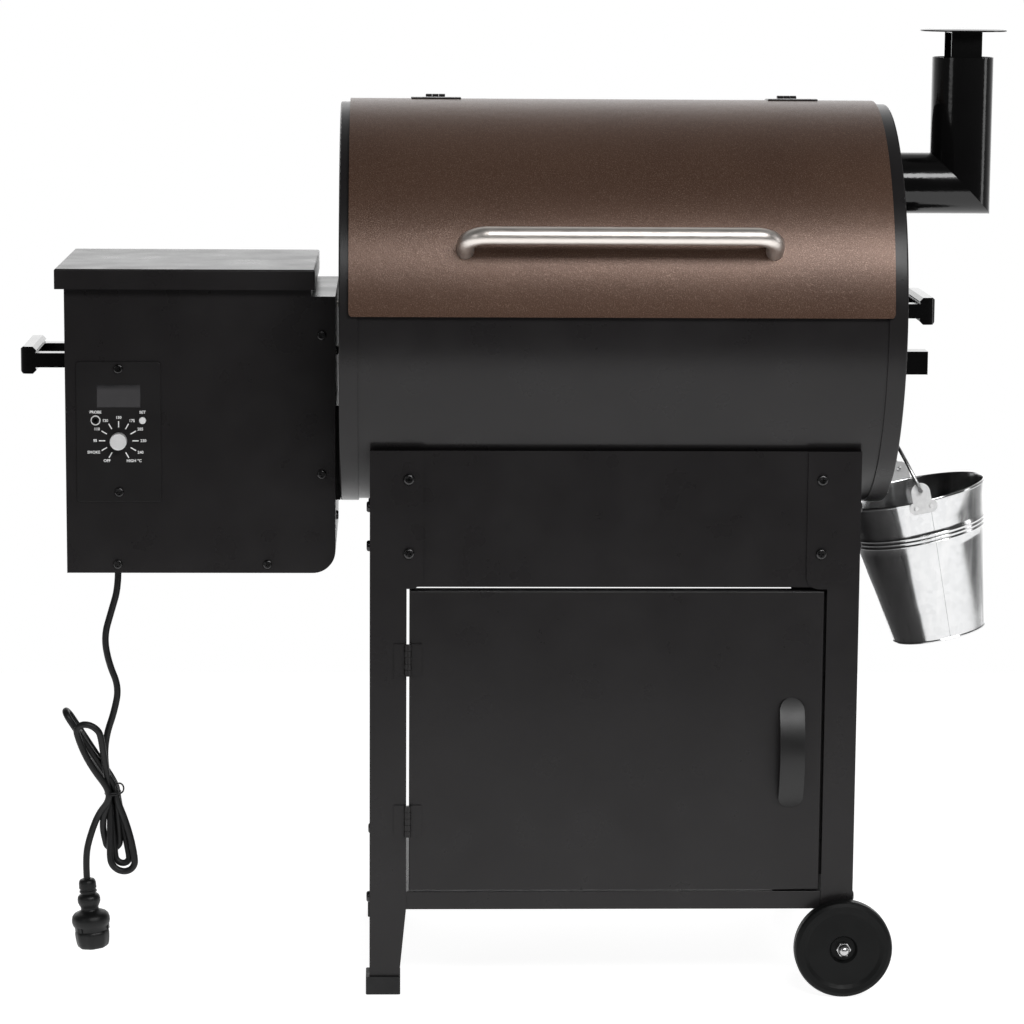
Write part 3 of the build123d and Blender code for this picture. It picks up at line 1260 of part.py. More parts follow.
# ---- All sub-parts -------------------------------------------------------------------------------
NODES = {
    "barrel_shell": barrel_shell(),
    "barrel_end_left": barrel_end_left(),
    "barrel_end_right": barrel_end_right(),
    "cooking_grates": cooking_grates(),
    "drip_tray": drip_tray(),
    "fire_pot": fire_pot(),
    "igniter_rod": igniter_rod(),
    "heat_baffle": heat_baffle(),
    "temperature_probe": temperature_probe(),
    "grease_spout": grease_spout(),
    "lid": lid(),
    "lid_handle": lid_handle(),
    "lid_handle_screws": lid_handle_screws(),
    "lid_hinge_leaves": lid_hinge_leaves(),
    "fixed_hinge_leaves": fixed_hinge_leaves(),
    "hinge_pins": hinge_pins(),
    "chimney_inlet": chimney_inlet(),
    "chimney_stack": chimney_stack(),
    "chimney_cap": chimney_cap(),
    "chimney_cap_strap": chimney_cap_strap(),
    "hopper_housing": hopper_housing(),
    "hopper_front_panel": hopper_front_panel(),
    "hopper_lid": hopper_lid(),
    "hopper_screws": hopper_screws(),
    "pellet_bin": pellet_bin(),
    "pellet_guard": pellet_guard(),
    "auger_tube": auger_tube(),
    "auger_screw": auger_screw(),
    "auger_motor": auger_motor(),
    "fan_housing": fan_housing(),
    "fan_impeller": fan_impeller(),
    "fan_motor": fan_motor(),
    "control_plate": control_plate(),
    "control_board_box": control_board_box(),
    "display_window": display_window(),
    "temperature_knob": temperature_knob(),
    "set_button": set_button(),
    "probe_jack": probe_jack(),
    "side_handles": [side_handle(HOPPER_X[0], -1, 687.5), side_handle(BARREL_X[1], 1, 745.0)],
    "front_legs": [leg("left", "front"), leg("right", "front")],
    "rear_legs": [leg("left", "back"), leg("right", "back")],
    "front_apron": long_apron(CART_FRONT, 1),
    "rear_apron": long_apron(CART_BACK, -1),
    "side_aprons": [side_apron(CART_X[0], 1), side_apron(CART_X[1], -1)],
    "shelf": shelf(),
    "cart_bolts": cart_bolts(),
    "foot_caps": foot_caps(),
    "door": door(),
    "door_hinge_leaves": [door_hinge_leaf(z, True) for z in DOOR_HINGES_Z],
    "door_handle": door_handle(),
    "door_catch": door_catch(),
    "axle": [axle()] + axle_nuts(),
    "wheel_front": wheel("front"),
    "wheel_rear": wheel("back"),
    "bucket": bucket(),
    "bucket_bail": bucket_bail(),
    "cable_gland": cable_gland(),
    "cord": cord_tubes(),
    "cord_hank": [cord_hank(), cord_tie()],
    "plug": [plug(), plug_cap()],
}


def write_nodes():
    os.makedirs("parts", exist_ok=True)
    for name, made in NODES.items():
        pieces = made if isinstance(made, list) else [made]
        solids = [solid for piece in pieces for solid in piece.solids()]
        export_step(Compound(solids), f"parts/{name}.step")


write_nodes()
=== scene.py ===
import json
import math

import bmesh
import bpy
from mathutils import Matrix, Vector


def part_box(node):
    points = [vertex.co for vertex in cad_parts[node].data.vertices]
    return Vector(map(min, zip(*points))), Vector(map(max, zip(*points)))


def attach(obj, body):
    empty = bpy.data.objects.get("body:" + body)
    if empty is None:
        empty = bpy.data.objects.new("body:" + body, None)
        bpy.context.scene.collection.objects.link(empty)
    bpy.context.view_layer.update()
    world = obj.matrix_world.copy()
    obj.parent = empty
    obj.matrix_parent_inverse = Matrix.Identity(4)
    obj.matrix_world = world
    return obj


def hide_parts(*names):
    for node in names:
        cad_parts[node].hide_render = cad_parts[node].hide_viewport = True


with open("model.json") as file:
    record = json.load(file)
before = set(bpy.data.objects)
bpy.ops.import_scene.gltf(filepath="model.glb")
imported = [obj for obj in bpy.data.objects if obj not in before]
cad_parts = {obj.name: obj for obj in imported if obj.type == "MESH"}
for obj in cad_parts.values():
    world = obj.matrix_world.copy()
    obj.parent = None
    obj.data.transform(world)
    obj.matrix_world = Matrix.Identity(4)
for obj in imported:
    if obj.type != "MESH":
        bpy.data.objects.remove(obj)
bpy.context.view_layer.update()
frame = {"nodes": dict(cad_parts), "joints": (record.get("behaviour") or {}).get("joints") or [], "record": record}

# Looks of the pellet smoker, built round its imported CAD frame. Metres; X right, Y back, Z up.

NODES = frame["nodes"]
JOINTS = {joint["name"]: joint for joint in frame["joints"]}
MM = 0.001


# ---- Camera ---------------------------------------------------------------------------------
CAMERA_PLACE = Vector((-0.1365, -3.997, 1.146))
CAMERA_DOWN = math.radians(9.0)
CAMERA_RIGHT = math.radians(1.94)
CAMERA_ROLL = math.radians(0.4)
LENS_MM = 126.56
SENSOR_MM = 36.0


def make_camera():
    """Camera before the object, a little left of its middle, turned right and tipped down."""
    data = bpy.data.cameras.new("camera")
    data.lens = LENS_MM
    data.sensor_width = SENSOR_MM
    camera = bpy.data.objects.new("camera", data)
    bpy.context.collection.objects.link(camera)
    turn = Matrix.Rotation(-CAMERA_RIGHT, 4, "Z")
    tip = Matrix.Rotation(math.pi / 2 - CAMERA_DOWN, 4, "X")
    roll = Matrix.Rotation(CAMERA_ROLL, 4, "Z")
    camera.matrix_world = Matrix.Translation(CAMERA_PLACE) @ turn @ tip @ roll
    bpy.context.scene.camera = camera


make_camera()


# ---- Node helpers for materials ---------------------------------------------------------------
def colour_sockets(sockets):
    """The colour sockets of a Mix node, which has one set of sockets for each kind of data."""
    return [socket for socket in sockets if socket.type == "RGBA"]


class Shader:
    """A Principled material and short calls that add texture nodes to it."""

    def __init__(self, name, roughness=0.5, metallic=0.0, specular=0.5):
        self.material = bpy.data.materials.new(name)
        self.material.use_nodes = True
        self.tree = self.material.node_tree
        self.surface = self.tree.nodes["Principled BSDF"]
        self.surface.inputs["Roughness"].default_value = roughness
        self.surface.inputs["Metallic"].default_value = metallic
        self.surface.inputs["Specular IOR Level"].default_value = specular

    def node(self, kind, **inputs):
        made = self.tree.nodes.new(kind)
        for name, value in inputs.items():
            made.inputs[name].default_value = value
        return made

    def link(self, output, target):
        self.tree.links.new(output, target)

    def place(self, stretch=(1.0, 1.0, 1.0), origin=(0.0, 0.0, 0.0)):
        """Position on the object, scaled along its axes about an origin."""
        where = self.node("ShaderNodeTexCoord")
        move = self.node("ShaderNodeVectorMath")
        move.operation = "SUBTRACT"
        move.inputs[1].default_value = origin
        scale = self.node("ShaderNodeVectorMath")
        scale.operation = "MULTIPLY"
        scale.inputs[1].default_value = stretch
        self.link(where.outputs["Object"], move.inputs[0])
        self.link(move.outputs["Vector"], scale.inputs[0])
        return scale.outputs["Vector"]

    def noise(self, scale, detail=3.0, stretch=(1.0, 1.0, 1.0)):
        made = self.node("ShaderNodeTexNoise", Scale=scale, Detail=detail)
        self.link(self.place(stretch), made.inputs["Vector"])
        return made.outputs["Fac"]

    def cells(self, scale):
        """Random value for each small cell."""
        made = self.node("ShaderNodeTexVoronoi", Scale=scale)
        self.link(self.place(), made.inputs["Vector"])
        return made.outputs["Color"]

    def span(self, value, low, high, low_at=0.3, high_at=0.7):
        """The value stretched to run from low to high."""
        made = self.node("ShaderNodeMapRange")
        made.inputs["From Min"].default_value = low_at
        made.inputs["From Max"].default_value = high_at
        made.inputs["To Min"].default_value = low
        made.inputs["To Max"].default_value = high
        self.link(value, made.inputs["Value"])
        return made.outputs["Result"]

    def mix(self, factor, first, second, low_at=0.3, high_at=0.7):
        """Blend of two colours, each a tuple or another node's output."""
        made = self.node("ShaderNodeMix")
        made.data_type = "RGBA"
        self.link(self.span(factor, 0.0, 1.0, low_at, high_at), made.inputs["Factor"])
        for target, colour in zip(colour_sockets(made.inputs), (first, second)):
            if isinstance(colour, tuple):
                target.default_value = (*colour, 1.0)
            else:
                self.link(colour, target)
        return colour_sockets(made.outputs)[0]

    def colour(self, output):
        self.link(output, self.surface.inputs["Base Color"])

    def roughness(self, output):
        self.link(output, self.surface.inputs["Roughness"])

    def bump(self, *layers):
        """Bump from (height output, depth in metres) layers."""
        below = None
        for height, depth in layers:
            made = self.node("ShaderNodeBump", Distance=depth)
            self.link(height, made.inputs["Height"])
            if below is not None:
                self.link(below, made.inputs["Normal"])
            below = made.outputs["Normal"]
        self.link(below, self.surface.inputs["Normal"])


# ---- Materials --------------------------------------------------------------------------------
def paint(name, dark, light, roughness, grain, specular=0.5):
    """Black paint: faint mottling, uneven gloss and an orange-peel grain of (scale, depth)."""
    made = Shader(name, specular=specular)
    made.colour(made.mix(made.noise(7.0), dark, light))
    made.roughness(made.span(made.noise(23.0, 5.0), *roughness))
    scale, depth = grain
    made.bump((made.noise(scale, 2.0), depth), (made.noise(scale / 14, 2.0), depth))
    return made.material


def bronze_paint():
    """Metallic bronze enamel: fine bright and dark flakes over a mottled brown ground."""
    made = Shader("bronze_enamel", metallic=0.35, specular=0.5)
    ground = made.mix(made.noise(5.0, 3.0), (0.088, 0.045, 0.029), (0.118, 0.064, 0.042))
    flecked = made.mix(made.noise(1000.0, 2.0), ground, (0.24, 0.16, 0.12), 0.50, 0.80)
    made.colour(made.mix(made.noise(1500.0, 1.0), flecked, (0.040, 0.022, 0.014), 0.55, 0.85))
    made.roughness(made.span(made.noise(900.0, 2.0), 0.28, 0.40))
    made.bump((made.noise(900.0, 2.0), 0.00014), (made.noise(60.0, 2.0), 0.0002))
    return made.material


def brushed(name, dark, light, roughness, stretch, depth=0.00003):
    """Bare metal with streaks, which run along the axis where stretch is smallest."""
    made = Shader(name, metallic=1.0)
    streaks = made.noise(1.0, 4.0, stretch)
    made.colour(made.mix(streaks, dark, light))
    made.roughness(made.span(streaks, *roughness))
    made.bump((streaks, depth))
    return made.material


def galvanised_sheet():
    """Bright tinned sheet: a smooth mirror with soft waves, faint crystals and lighter upright streaks of painted
    reflection.
    """
    made = Shader("galvanised", metallic=1.0)
    crystals = made.mix(made.cells(160.0), (0.66, 0.665, 0.67), (0.71, 0.715, 0.72), 0.2, 0.8)
    # Painted reflection: long upright streaks lighten the colour where bands of the studio would be reflected;
    # they also vary the roughness.
    painted_reflection_streaks = made.noise(1.0, 4.0, (90.0, 90.0, 4.0))
    made.colour(made.mix(painted_reflection_streaks, crystals, (0.80, 0.80, 0.80), 0.45, 0.85))
    made.roughness(made.span(painted_reflection_streaks, 0.10, 0.20))
    waves = made.noise(1.0, 2.0, (26.0, 26.0, 7.0))
    made.bump((waves, 0.0009), (made.noise(500.0, 2.0), 0.00001))
    return made.material


def stained_steel():
    """Mill-finish steel with a faint heat and oil stain."""
    made = Shader("bare_steel", metallic=1.0)
    clean = made.mix(made.noise(140.0, 4.0), (0.34, 0.34, 0.345), (0.44, 0.44, 0.44))
    made.colour(made.mix(made.noise(8.0, 4.0), clean, (0.24, 0.20, 0.165), 0.5, 0.85))
    made.roughness(made.span(made.noise(60.0, 4.0), 0.32, 0.55))
    made.bump((made.noise(400.0, 2.0), 0.00004))
    return made.material


def moulded(name, dark, light, roughness, grain=1200.0, specular=0.5):
    """Even plastic, rubber or enamel with a fine spark texture."""
    made = Shader(name, specular=specular)
    made.colour(made.mix(made.noise(16.0, 3.0), dark, light))
    made.roughness(made.span(made.noise(120.0, 3.0), *roughness))
    made.bump((made.noise(grain, 2.0), 0.00006))
    return made.material


def spun_aluminium():
    """Turned metal whose fine rings run round the dial's own axis."""
    low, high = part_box("temperature_knob")
    made = Shader("spun_aluminium", metallic=0.35)
    wave = made.node("ShaderNodeTexWave", Scale=420.0, Distortion=0.6)
    wave.wave_type = "RINGS"
    wave.rings_direction = "Y"
    made.link(made.place(origin=tuple((low + high) / 2)), wave.inputs["Vector"])
    rings = wave.outputs["Fac"]
    made.colour(made.mix(rings, (0.78, 0.78, 0.78), (0.95, 0.95, 0.95), 0.0, 1.0))
    made.roughness(made.span(rings, 0.28, 0.40, 0.0, 1.0))
    made.bump((rings, 0.00004))
    return made.material


def display_glass():
    """Grey window over an unlit display, with painted shade darkening it under its top edge."""
    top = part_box("display_window")[1].z
    made = Shader("display", specular=0.6)
    split = made.node("ShaderNodeSeparateXYZ")
    made.link(made.place(), split.inputs["Vector"])
    # Painted shade: the colour darkens over the window's top 6 mm, where the edge above would shade it.
    shaded = made.mix(split.outputs["Z"], (0.062, 0.060, 0.062), (0.022, 0.022, 0.023),
                      top - 0.006, top - 0.001)
    made.colour(made.mix(made.noise(60.0), shaded, (0.050, 0.049, 0.051), 0.4, 0.9))
    made.roughness(made.span(made.noise(30.0), 0.10, 0.2))
    return made.material


def satin_zinc():
    """Dull pressed zinc of the bucket's ears."""
    made = Shader("ear_zinc", metallic=0.15)
    made.colour(made.mix(made.noise(160.0, 4.0), (0.80, 0.80, 0.80), (0.92, 0.92, 0.92)))
    made.roughness(made.span(made.noise(90.0, 4.0), 0.30, 0.46))
    made.bump((made.noise(500.0, 2.0), 0.00003))
    return made.material


def socket_ring():
    """Bright rim round a black bore, told apart by the distance from the socket's own axis."""
    low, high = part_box("probe_jack")
    outer = (high.x - low.x) / 2
    made = Shader("jack_ring", specular=0.5)
    reach = made.node("ShaderNodeVectorMath")
    reach.operation = "LENGTH"
    made.link(made.place((1.0, 0.0, 1.0), tuple((low + high) / 2)), reach.inputs[0])
    rubbed = made.mix(made.noise(900.0), (0.62, 0.62, 0.62), (0.74, 0.74, 0.74))
    made.colour(made.mix(reach.outputs["Value"], (0.004, 0.004, 0.004), rubbed, outer * 0.74, outer * 0.80))
    made.roughness(made.span(made.noise(300.0), 0.24, 0.36))
    return made.material


def print_white():
    """Matt white ink."""
    made = Shader("print_white", specular=0.3)
    made.colour(made.mix(made.noise(2500.0), (0.80, 0.80, 0.80), (0.90, 0.90, 0.90)))
    made.roughness(made.span(made.noise(600.0), 0.5, 0.65))
    return made.material


MATERIALS = {
    "black_powder_coat": paint("black_powder_coat", (0.0130, 0.0119, 0.0123), (0.0165, 0.0152, 0.0157),
                               (0.26, 0.34), (850.0, 0.00006), 0.3),
    "bronze_enamel": bronze_paint(),
    "gloss_black": paint("gloss_black", (0.0030, 0.0029, 0.0030), (0.0046, 0.0045, 0.0046),
                         (0.09, 0.16), (260.0, 0.00008)),
    "stainless": brushed("stainless", (0.84, 0.78, 0.73), (0.92, 0.86, 0.81),
                         (0.34, 0.42), (60.0, 300.0, 300.0), 0.00001),
    "zinc_steel": brushed("zinc_steel", (0.50, 0.50, 0.50), (0.68, 0.68, 0.68),
                          (0.2, 0.36), (90.0, 90.0, 90.0)),
    "galvanised": galvanised_sheet(),
    "grate_enamel": moulded("grate_enamel", (0.018, 0.018, 0.018), (0.035, 0.033, 0.031),
                            (0.28, 0.45), 500.0),
    "bare_steel": stained_steel(),
    "black_plastic": moulded("black_plastic", (0.007, 0.007, 0.0074), (0.011, 0.011, 0.0114),
                             (0.42, 0.58), specular=0.3),
    "tyre_plastic": moulded("tyre_plastic", (0.0055, 0.0058, 0.0058), (0.009, 0.0093, 0.0093),
                            (0.38, 0.50), 700.0, specular=0.12),
    "controller_black": paint("controller_black", (0.0125, 0.0117, 0.0120), (0.0150, 0.0141, 0.0144),
                              (0.32, 0.42), (1100.0, 0.00005), 0.2),
    "display": display_glass(),
    "spun_aluminium": spun_aluminium(),
    "chrome_trim": brushed("chrome_trim", (0.78, 0.78, 0.79), (0.88, 0.88, 0.88),
                           (0.06, 0.14), (40.0, 40.0, 40.0)),
    "cord_rubber": moulded("cord_rubber", (0.0050, 0.0052, 0.0054), (0.008, 0.0083, 0.0085),
                           (0.36, 0.50), 1500.0, specular=0.3),
    "print_white": print_white(),
    "jack_ring": socket_ring(),
    "satin_black": paint("satin_black", (0.0050, 0.0047, 0.0049), (0.0070, 0.0067, 0.0069),
                         (0.36, 0.46), (700.0, 0.00005)),
    "satin_silver": moulded("satin_silver", (0.74, 0.74, 0.74), (0.86, 0.86, 0.86), (0.30, 0.42)),
    "ear_zinc": satin_zinc(),
    "screw_black": brushed("screw_black", (0.045, 0.044, 0.045), (0.085, 0.083, 0.084),
                           (0.22, 0.34), (200.0, 200.0, 200.0)),
}

# Nodes whose finish differs a little from the rest of their slot.
FINISHES = {
    "probe_jack": "jack_ring",
    "door_handle": "satin_black",
    "set_button": "satin_silver",
    "hopper_screws": "screw_black",
    "cart_bolts": "screw_black",
}


def paint_cad_nodes():
    """Every CAD node gets its record slot's material, or its own finish."""
    for subpart in frame["record"]["subparts"]:
        piece = NODES[subpart["node"]]
        piece.data.materials.clear()
        piece.data.materials.append(MATERIALS[subpart["material_slot"]])
    for name, finish in FINISHES.items():
        NODES[name].data.materials[0] = MATERIALS[finish]


paint_cad_nodes()


# ---- Mesh helpers -----------------------------------------------------------------------------
# Stands a flat outline upright, its thickness towards the front.
FACING_FRONT = Matrix.Rotation(math.pi / 2, 4, "X")
# Rounding allowances where an outline is cut by a line from its middle.
PARALLEL = 1e-12
SLACK = 1e-6


def add_piece(name, shape, slot, body, material=None, smooth_angle=40.0):
    """Object from a shape, which is used up: shaded, painted and riding on a body."""
    mesh = bpy.data.meshes.new(name)
    bmesh.ops.recalc_face_normals(shape, faces=shape.faces)
    shape.to_mesh(mesh)
    shape.free()
    mesh.shade_smooth()
    mesh.set_sharp_from_angle(angle=math.radians(smooth_angle))
    mesh.materials.append(MATERIALS[material or slot])
    piece = bpy.data.objects.new(name, mesh)
    bpy.context.collection.objects.link(piece)
    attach(piece, body)
    return piece


def join_rings(shape, ring_a, ring_b):
    """Band of quads between two closed rings of as many vertices."""
    count = len(ring_a)
    for step in range(count):
        after = (step + 1) % count
        shape.faces.new((ring_a[step], ring_a[after], ring_b[after], ring_b[step]))


def add_lathe(shape, profile, angles, place, wave=None):
    """Turned surface from (radius, height) points about Z; wave(angle, height, radius) is added."""
    rings = []
    for radius, height in profile:
        ring = []
        for angle in angles:
            size = radius if wave is None else radius + wave(angle, height, radius)
            spot = Vector((size * math.cos(angle), size * math.sin(angle), height))
            ring.append(shape.verts.new(place @ spot))
        rings.append(ring)
    for lower, upper in zip(rings, rings[1:]):
        join_rings(shape, lower, upper)
    shape.faces.new(rings[0])
    shape.faces.new(rings[-1])


def even_turn(steps):
    """Angles of a whole turn in equal steps."""
    return [2 * math.pi * step / steps for step in range(steps)]


def flat_ring(shape, outline, height, place):
    """Vertices of (x, y) outline points at one height of the placed frame."""
    return [shape.verts.new(place @ Vector((x, y, height))) for x, y in outline]


def add_plate(shape, outline, thickness, place):
    """Flat plate from (x, y) outline points, its thickness along the placed Z axis."""
    low = flat_ring(shape, outline, 0.0, place)
    high = flat_ring(shape, outline, thickness, place)
    shape.faces.new(low)
    shape.faces.new(high)
    join_rings(shape, low, high)


def add_holed_plate(shape, outline, hole, thickness, place):
    """Plate with a round hole; its outline is cut into as many points as the hole has."""
    outer = resample(outline, len(hole))
    inner_low = flat_ring(shape, hole, 0.0, place)
    outer_low = flat_ring(shape, outer, 0.0, place)
    inner_high = flat_ring(shape, hole, thickness, place)
    outer_high = flat_ring(shape, outer, thickness, place)
    join_rings(shape, inner_low, outer_low)
    join_rings(shape, inner_high, outer_high)
    join_rings(shape, inner_low, inner_high)
    join_rings(shape, outer_low, outer_high)


def resample(outline, count):
    """Closed outline as count points, in equal turns about its middle, clockwise from the top."""
    middle = Vector((sum(x for x, y in outline), sum(y for x, y in outline))) / len(outline)
    corners = [Vector(corner) - middle for corner in outline]
    made = []
    for angle in even_turn(count):
        way = Vector((math.sin(angle), math.cos(angle)))
        best = 0.0
        for start, end in zip(corners, corners[1:] + corners[:1]):
            side = end - start
            across = way.cross(side)
            if abs(across) < PARALLEL:
                continue
            reach = start.cross(side) / across
            share = start.cross(way) / across
            if reach > 0 and -SLACK <= share <= 1 + SLACK:
                best = max(best, reach)
        made.append(tuple(middle + way * best))
    return made


def oval(half_width, half_height, angle):
    """Point of an oval about the origin."""
    return Vector((half_width * math.cos(angle), half_height * math.sin(angle)))


def arc_points(centre, radius, start, end, steps):
    """Points along an arc, angles in degrees."""
    points = []
    for step in range(steps + 1):
        angle = math.radians(start + (end - start) * step / steps)
        points.append((centre[0] + radius * math.cos(angle), centre[1] + radius * math.sin(angle)))
    return points


def in_mm(points):
    """Points given in millimetres, as metres."""
    return [(a * MM, b * MM) for a, b in points]


def wire_curve(name, points, radius, slot, body):
    """Round wire along a smooth spline."""
    curve = bpy.data.curves.new(name, "CURVE")
    curve.dimensions = "3D"
    curve.bevel_depth = radius
    curve.bevel_resolution = 6
    curve.resolution_u = 10
    curve.use_fill_caps = True
    spline = curve.splines.new("NURBS")
    spline.points.add(len(points) - 1)
    for control, place in zip(spline.points, points):
        control.co = (*place, 1.0)
    spline.order_u = 3
    spline.use_endpoint_u = True
    curve.materials.append(MATERIALS[slot])
    piece = bpy.data.objects.new(name, curve)
    bpy.context.collection.objects.link(piece)
    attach(piece, body)
    return piece


# ---- Mains cord -------------------------------------------------------------------------------
CORD_D = 0.0075
CORD_Y = -0.06325
PLUG_TOP = Vector((-0.477, CORD_Y, 0.106))
PLUG_BOTTOM = Vector((-0.4705, CORD_Y, 0.027))
# Route points, X and Z in the plane Y = CORD_Y, as in the CAD tube.
CORD_DROP = [(-0.4385, 0.4615), (-0.4385, 0.438), (-0.4465, 0.411), (-0.455, 0.382), (-0.450, 0.352),
             (-0.439, 0.325), (-0.4445, 0.297), (-0.4535, 0.271), (-0.456, 0.244)]
CORD_TAIL = [(-0.463, 0.181), (-0.472, 0.158), (-0.4785, 0.132), (-0.477, 0.106)]
# The wire tie round the middle of the hank, where the strands lie close together.
TIE_PLACE = Vector((-0.447, CORD_Y, 0.205))
TIE_LEAN = Vector((-0.10, 0.0, 1.0)).normalized()
TIE_HALF_HEIGHT = 0.007
TIE_WIRE_R = 0.0009
TIE_HALF_WIDTH = 0.0087
TIE_HALF_DEPTH = 0.0154
TIE_STEPS = 12
TIE_TURNS = 2
TIE_PITCH = 0.0022
TIE_START_ANGLE = -0.5
TIE_START_RISE = -0.002
# Its bent ends, one round loop in front of the hank.
TIE_LOOP_OFFSET = Vector((0.0080, -0.0105, 0.0070))
TIE_LOOP_HALF_WIDTH = 0.0052
TIE_LOOP_HALF_HEIGHT = 0.0062
TIE_LOOP_STEPS = 9

RIGHT = Vector((1.0, 0.0, 0.0))
LEFT = -RIGHT
BACK = Vector((0.0, 1.0, 0.0))
FRONT = -BACK
UP = Vector((0.0, 0.0, 1.0))


def point(x, z, depth):
    """Place in the cord's plane, in millimetres, and its depth behind that plane in cord diameters."""
    return Vector((x * MM, CORD_Y + depth * CORD_D, z * MM))


# Strands through the tie in their order along the cord: across and depth, in cord diameters.
STRANDS = [(-0.5, 0.5), (0.5, -0.5), (0.5, 1.4), (-0.5, 1.4), (0.5, 0.5), (-0.5, -0.45), (-0.5, -1.4)]
# Folds between them, below and above the tie by turns: tip, side of the arriving leg, radius and bow in mm.
FOLDS = [
    (point(-434.7, 115.4, -0.8), RIGHT, 14.0, 2.5),
    (point(-498.5, 298.0, 0.0), BACK, 10.5, 0.0),
    (point(-436.5, 123.0, 0.3), LEFT, 8.0, 0.0),
    (point(-485.0, 275.0, 0.0), FRONT, 5.0, 0.0),
    (point(-448.5, 139.0, 1.0), LEFT, 8.0, 5.0),
    (point(-475.5, 287.0, -2.7), LEFT, 13.0, 4.0),
]


def waist(across, depth):
    """Top and bottom of a strand in the tie, given in cord diameters from the tie's middle."""
    middle = TIE_PLACE + Vector((across * CORD_D, depth * CORD_D, 0.0))
    return [middle + TIE_LEAN * TIE_HALF_HEIGHT, middle - TIE_LEAN * TIE_HALF_HEIGHT]


def fold(leaving, arriving, tip, spread, radius, bow):
    """One folded loop of the hank: out to a round tip and back; the arriving leg, on the side that
    spread points to, bows outwards."""
    axis = (tip - (leaving + arriving) / 2).normalized()
    centre = tip - axis * radius
    sideways = spread.normalized() * radius
    steps = 6
    turn = []
    for step in range(steps + 1):
        angle = math.pi * step / steps
        turn.append(centre - sideways * math.cos(angle) + axis * radius * math.sin(angle))
    thirds = (0.33, 0.67)
    out = [leaving.lerp(turn[0], share) for share in thirds]
    back = [turn[-1].lerp(arriving, share) + spread * bow for share in thirds]
    return out + turn + back


def cord_route():
    """Whole cord: the drop, three pairs of folds through the tie, and the tail to the plug."""
    strands = [waist(across, depth) for across, depth in STRANDS]
    route = [Vector((x, CORD_Y, z)) for x, z in CORD_DROP]
    route += strands[0]
    below = True
    for (tip, spread, radius, bow), before, after in zip(FOLDS, strands, strands[1:]):
        end = 1 if below else 0
        route += fold(before[end], after[end], tip, spread, radius * MM, bow * MM)
        route += after[::-1] if below else after
        below = not below
    return route + [Vector((x, CORD_Y, z)) for x, z in CORD_TAIL]


PLUG_STEPS = 64
CATCH_ANGLES = (8.0, 128.0, 248.0)
CATCH_REACH = 0.0180
CATCH_START = 0.0585
CATCH_THICKNESS = 0.0018
CAP_FACETS = 8
CAP_FACET_DEPTH = 0.0004
CAP_FACETED_FROM = 0.012


def down_plug():
    """Frame whose Z runs down the plug from its top."""
    down = (PLUG_BOTTOM - PLUG_TOP).normalized()
    turn = down.to_track_quat("Z", "X").to_matrix().to_4x4()
    return Matrix.Translation(PLUG_TOP) @ turn


def make_plug():
    """Moulded plug: grooved cable nut, waist and shoulder."""
    nut = [(0.0, 0.2), (4.6, 0.2), (5.6, 0.0), (8.0, 0.9), (9.1, 2.6), (9.6, 5.0), (9.7, 10.8),
           (8.7, 11.5), (8.7, 12.9), (9.7, 13.5), (9.7, 15.2), (8.0, 16.0), (8.0, 17.2)]
    bulge = [(10.2, 18.0), (12.0, 20.0), (12.7, 22.8), (12.6, 26.5), (11.3, 29.8), (10.0, 32.4), (9.8, 34.6)]
    shoulder = [(11.0, 36.4), (14.2, 37.8), (18.0, 39.4), (20.3, 42.0), (21.2, 45.6), (21.3, 49.0),
                (20.4, 52.4), (18.9, 54.6), (18.6, 58.6), (0.0, 58.8)]
    shape = bmesh.new()
    add_lathe(shape, in_mm(nut + bulge + shoulder), even_turn(PLUG_STEPS), down_plug())
    return add_piece("plug_body", shape, "cord_rubber", "smoker", smooth_angle=50)


def cap_facets(angle, height, radius):
    """Shallow waves round the cap's wide part."""
    return CAP_FACET_DEPTH * math.cos(CAP_FACETS * angle) if radius > CAP_FACETED_FROM else 0.0


def make_plug_cap():
    """Cover over the pins, lightly faceted, with three flat catches round it."""
    end = (PLUG_BOTTOM - PLUG_TOP).length / MM
    side = [(0.0, 59.0), (17.6, 59.0), (18.5, 60.0), (18.9, 63.0), (18.6, 68.0), (17.9, 73.5)]
    foot = [(16.9, end - 2.4), (15.2, end - 0.8), (13.0, end - 0.2), (0.0, end)]
    catch = in_mm([(-3.0, 0.0), (3.0, 0.0), (3.0, 13.0), (2.2, 14.0), (-2.2, 14.0), (-3.0, 13.0)])
    place = down_plug()
    shape = bmesh.new()
    add_lathe(shape, in_mm(side + foot), even_turn(PLUG_STEPS), place, cap_facets)
    upright = Matrix.Rotation(math.pi / 2, 4, "Y") @ Matrix.Rotation(-math.pi / 2, 4, "Z")
    for angle in CATCH_ANGLES:
        turn = Matrix.Rotation(math.radians(angle), 4, "Z")
        stand = Matrix.Translation((CATCH_REACH, 0.0, CATCH_START)) @ upright
        add_plate(shape, catch, CATCH_THICKNESS, place @ turn @ stand)
    return add_piece("plug_cap", shape, "cord_rubber", "smoker")


def make_tie():
    """Twist tie: two turns round the waist, then a bent loop of its ends."""
    points = []
    for step in range(TIE_STEPS * TIE_TURNS + 1):
        share = step / TIE_STEPS
        angle = 2 * math.pi * share + TIE_START_ANGLE
        rise = TIE_PITCH * share + TIE_START_RISE
        points.append(TIE_PLACE + oval(TIE_HALF_WIDTH, TIE_HALF_DEPTH, angle).to_3d() + UP * rise)
    for step in range(TIE_LOOP_STEPS + 1):
        angle = math.pi + 2 * math.pi * step / TIE_LOOP_STEPS
        loop = oval(TIE_LOOP_HALF_WIDTH, TIE_LOOP_HALF_HEIGHT, angle)
        points.append(TIE_PLACE + TIE_LOOP_OFFSET + RIGHT * loop.x + UP * loop.y)
    return wire_curve("cord_tie", points, TIE_WIRE_R, "black_plastic", "smoker")


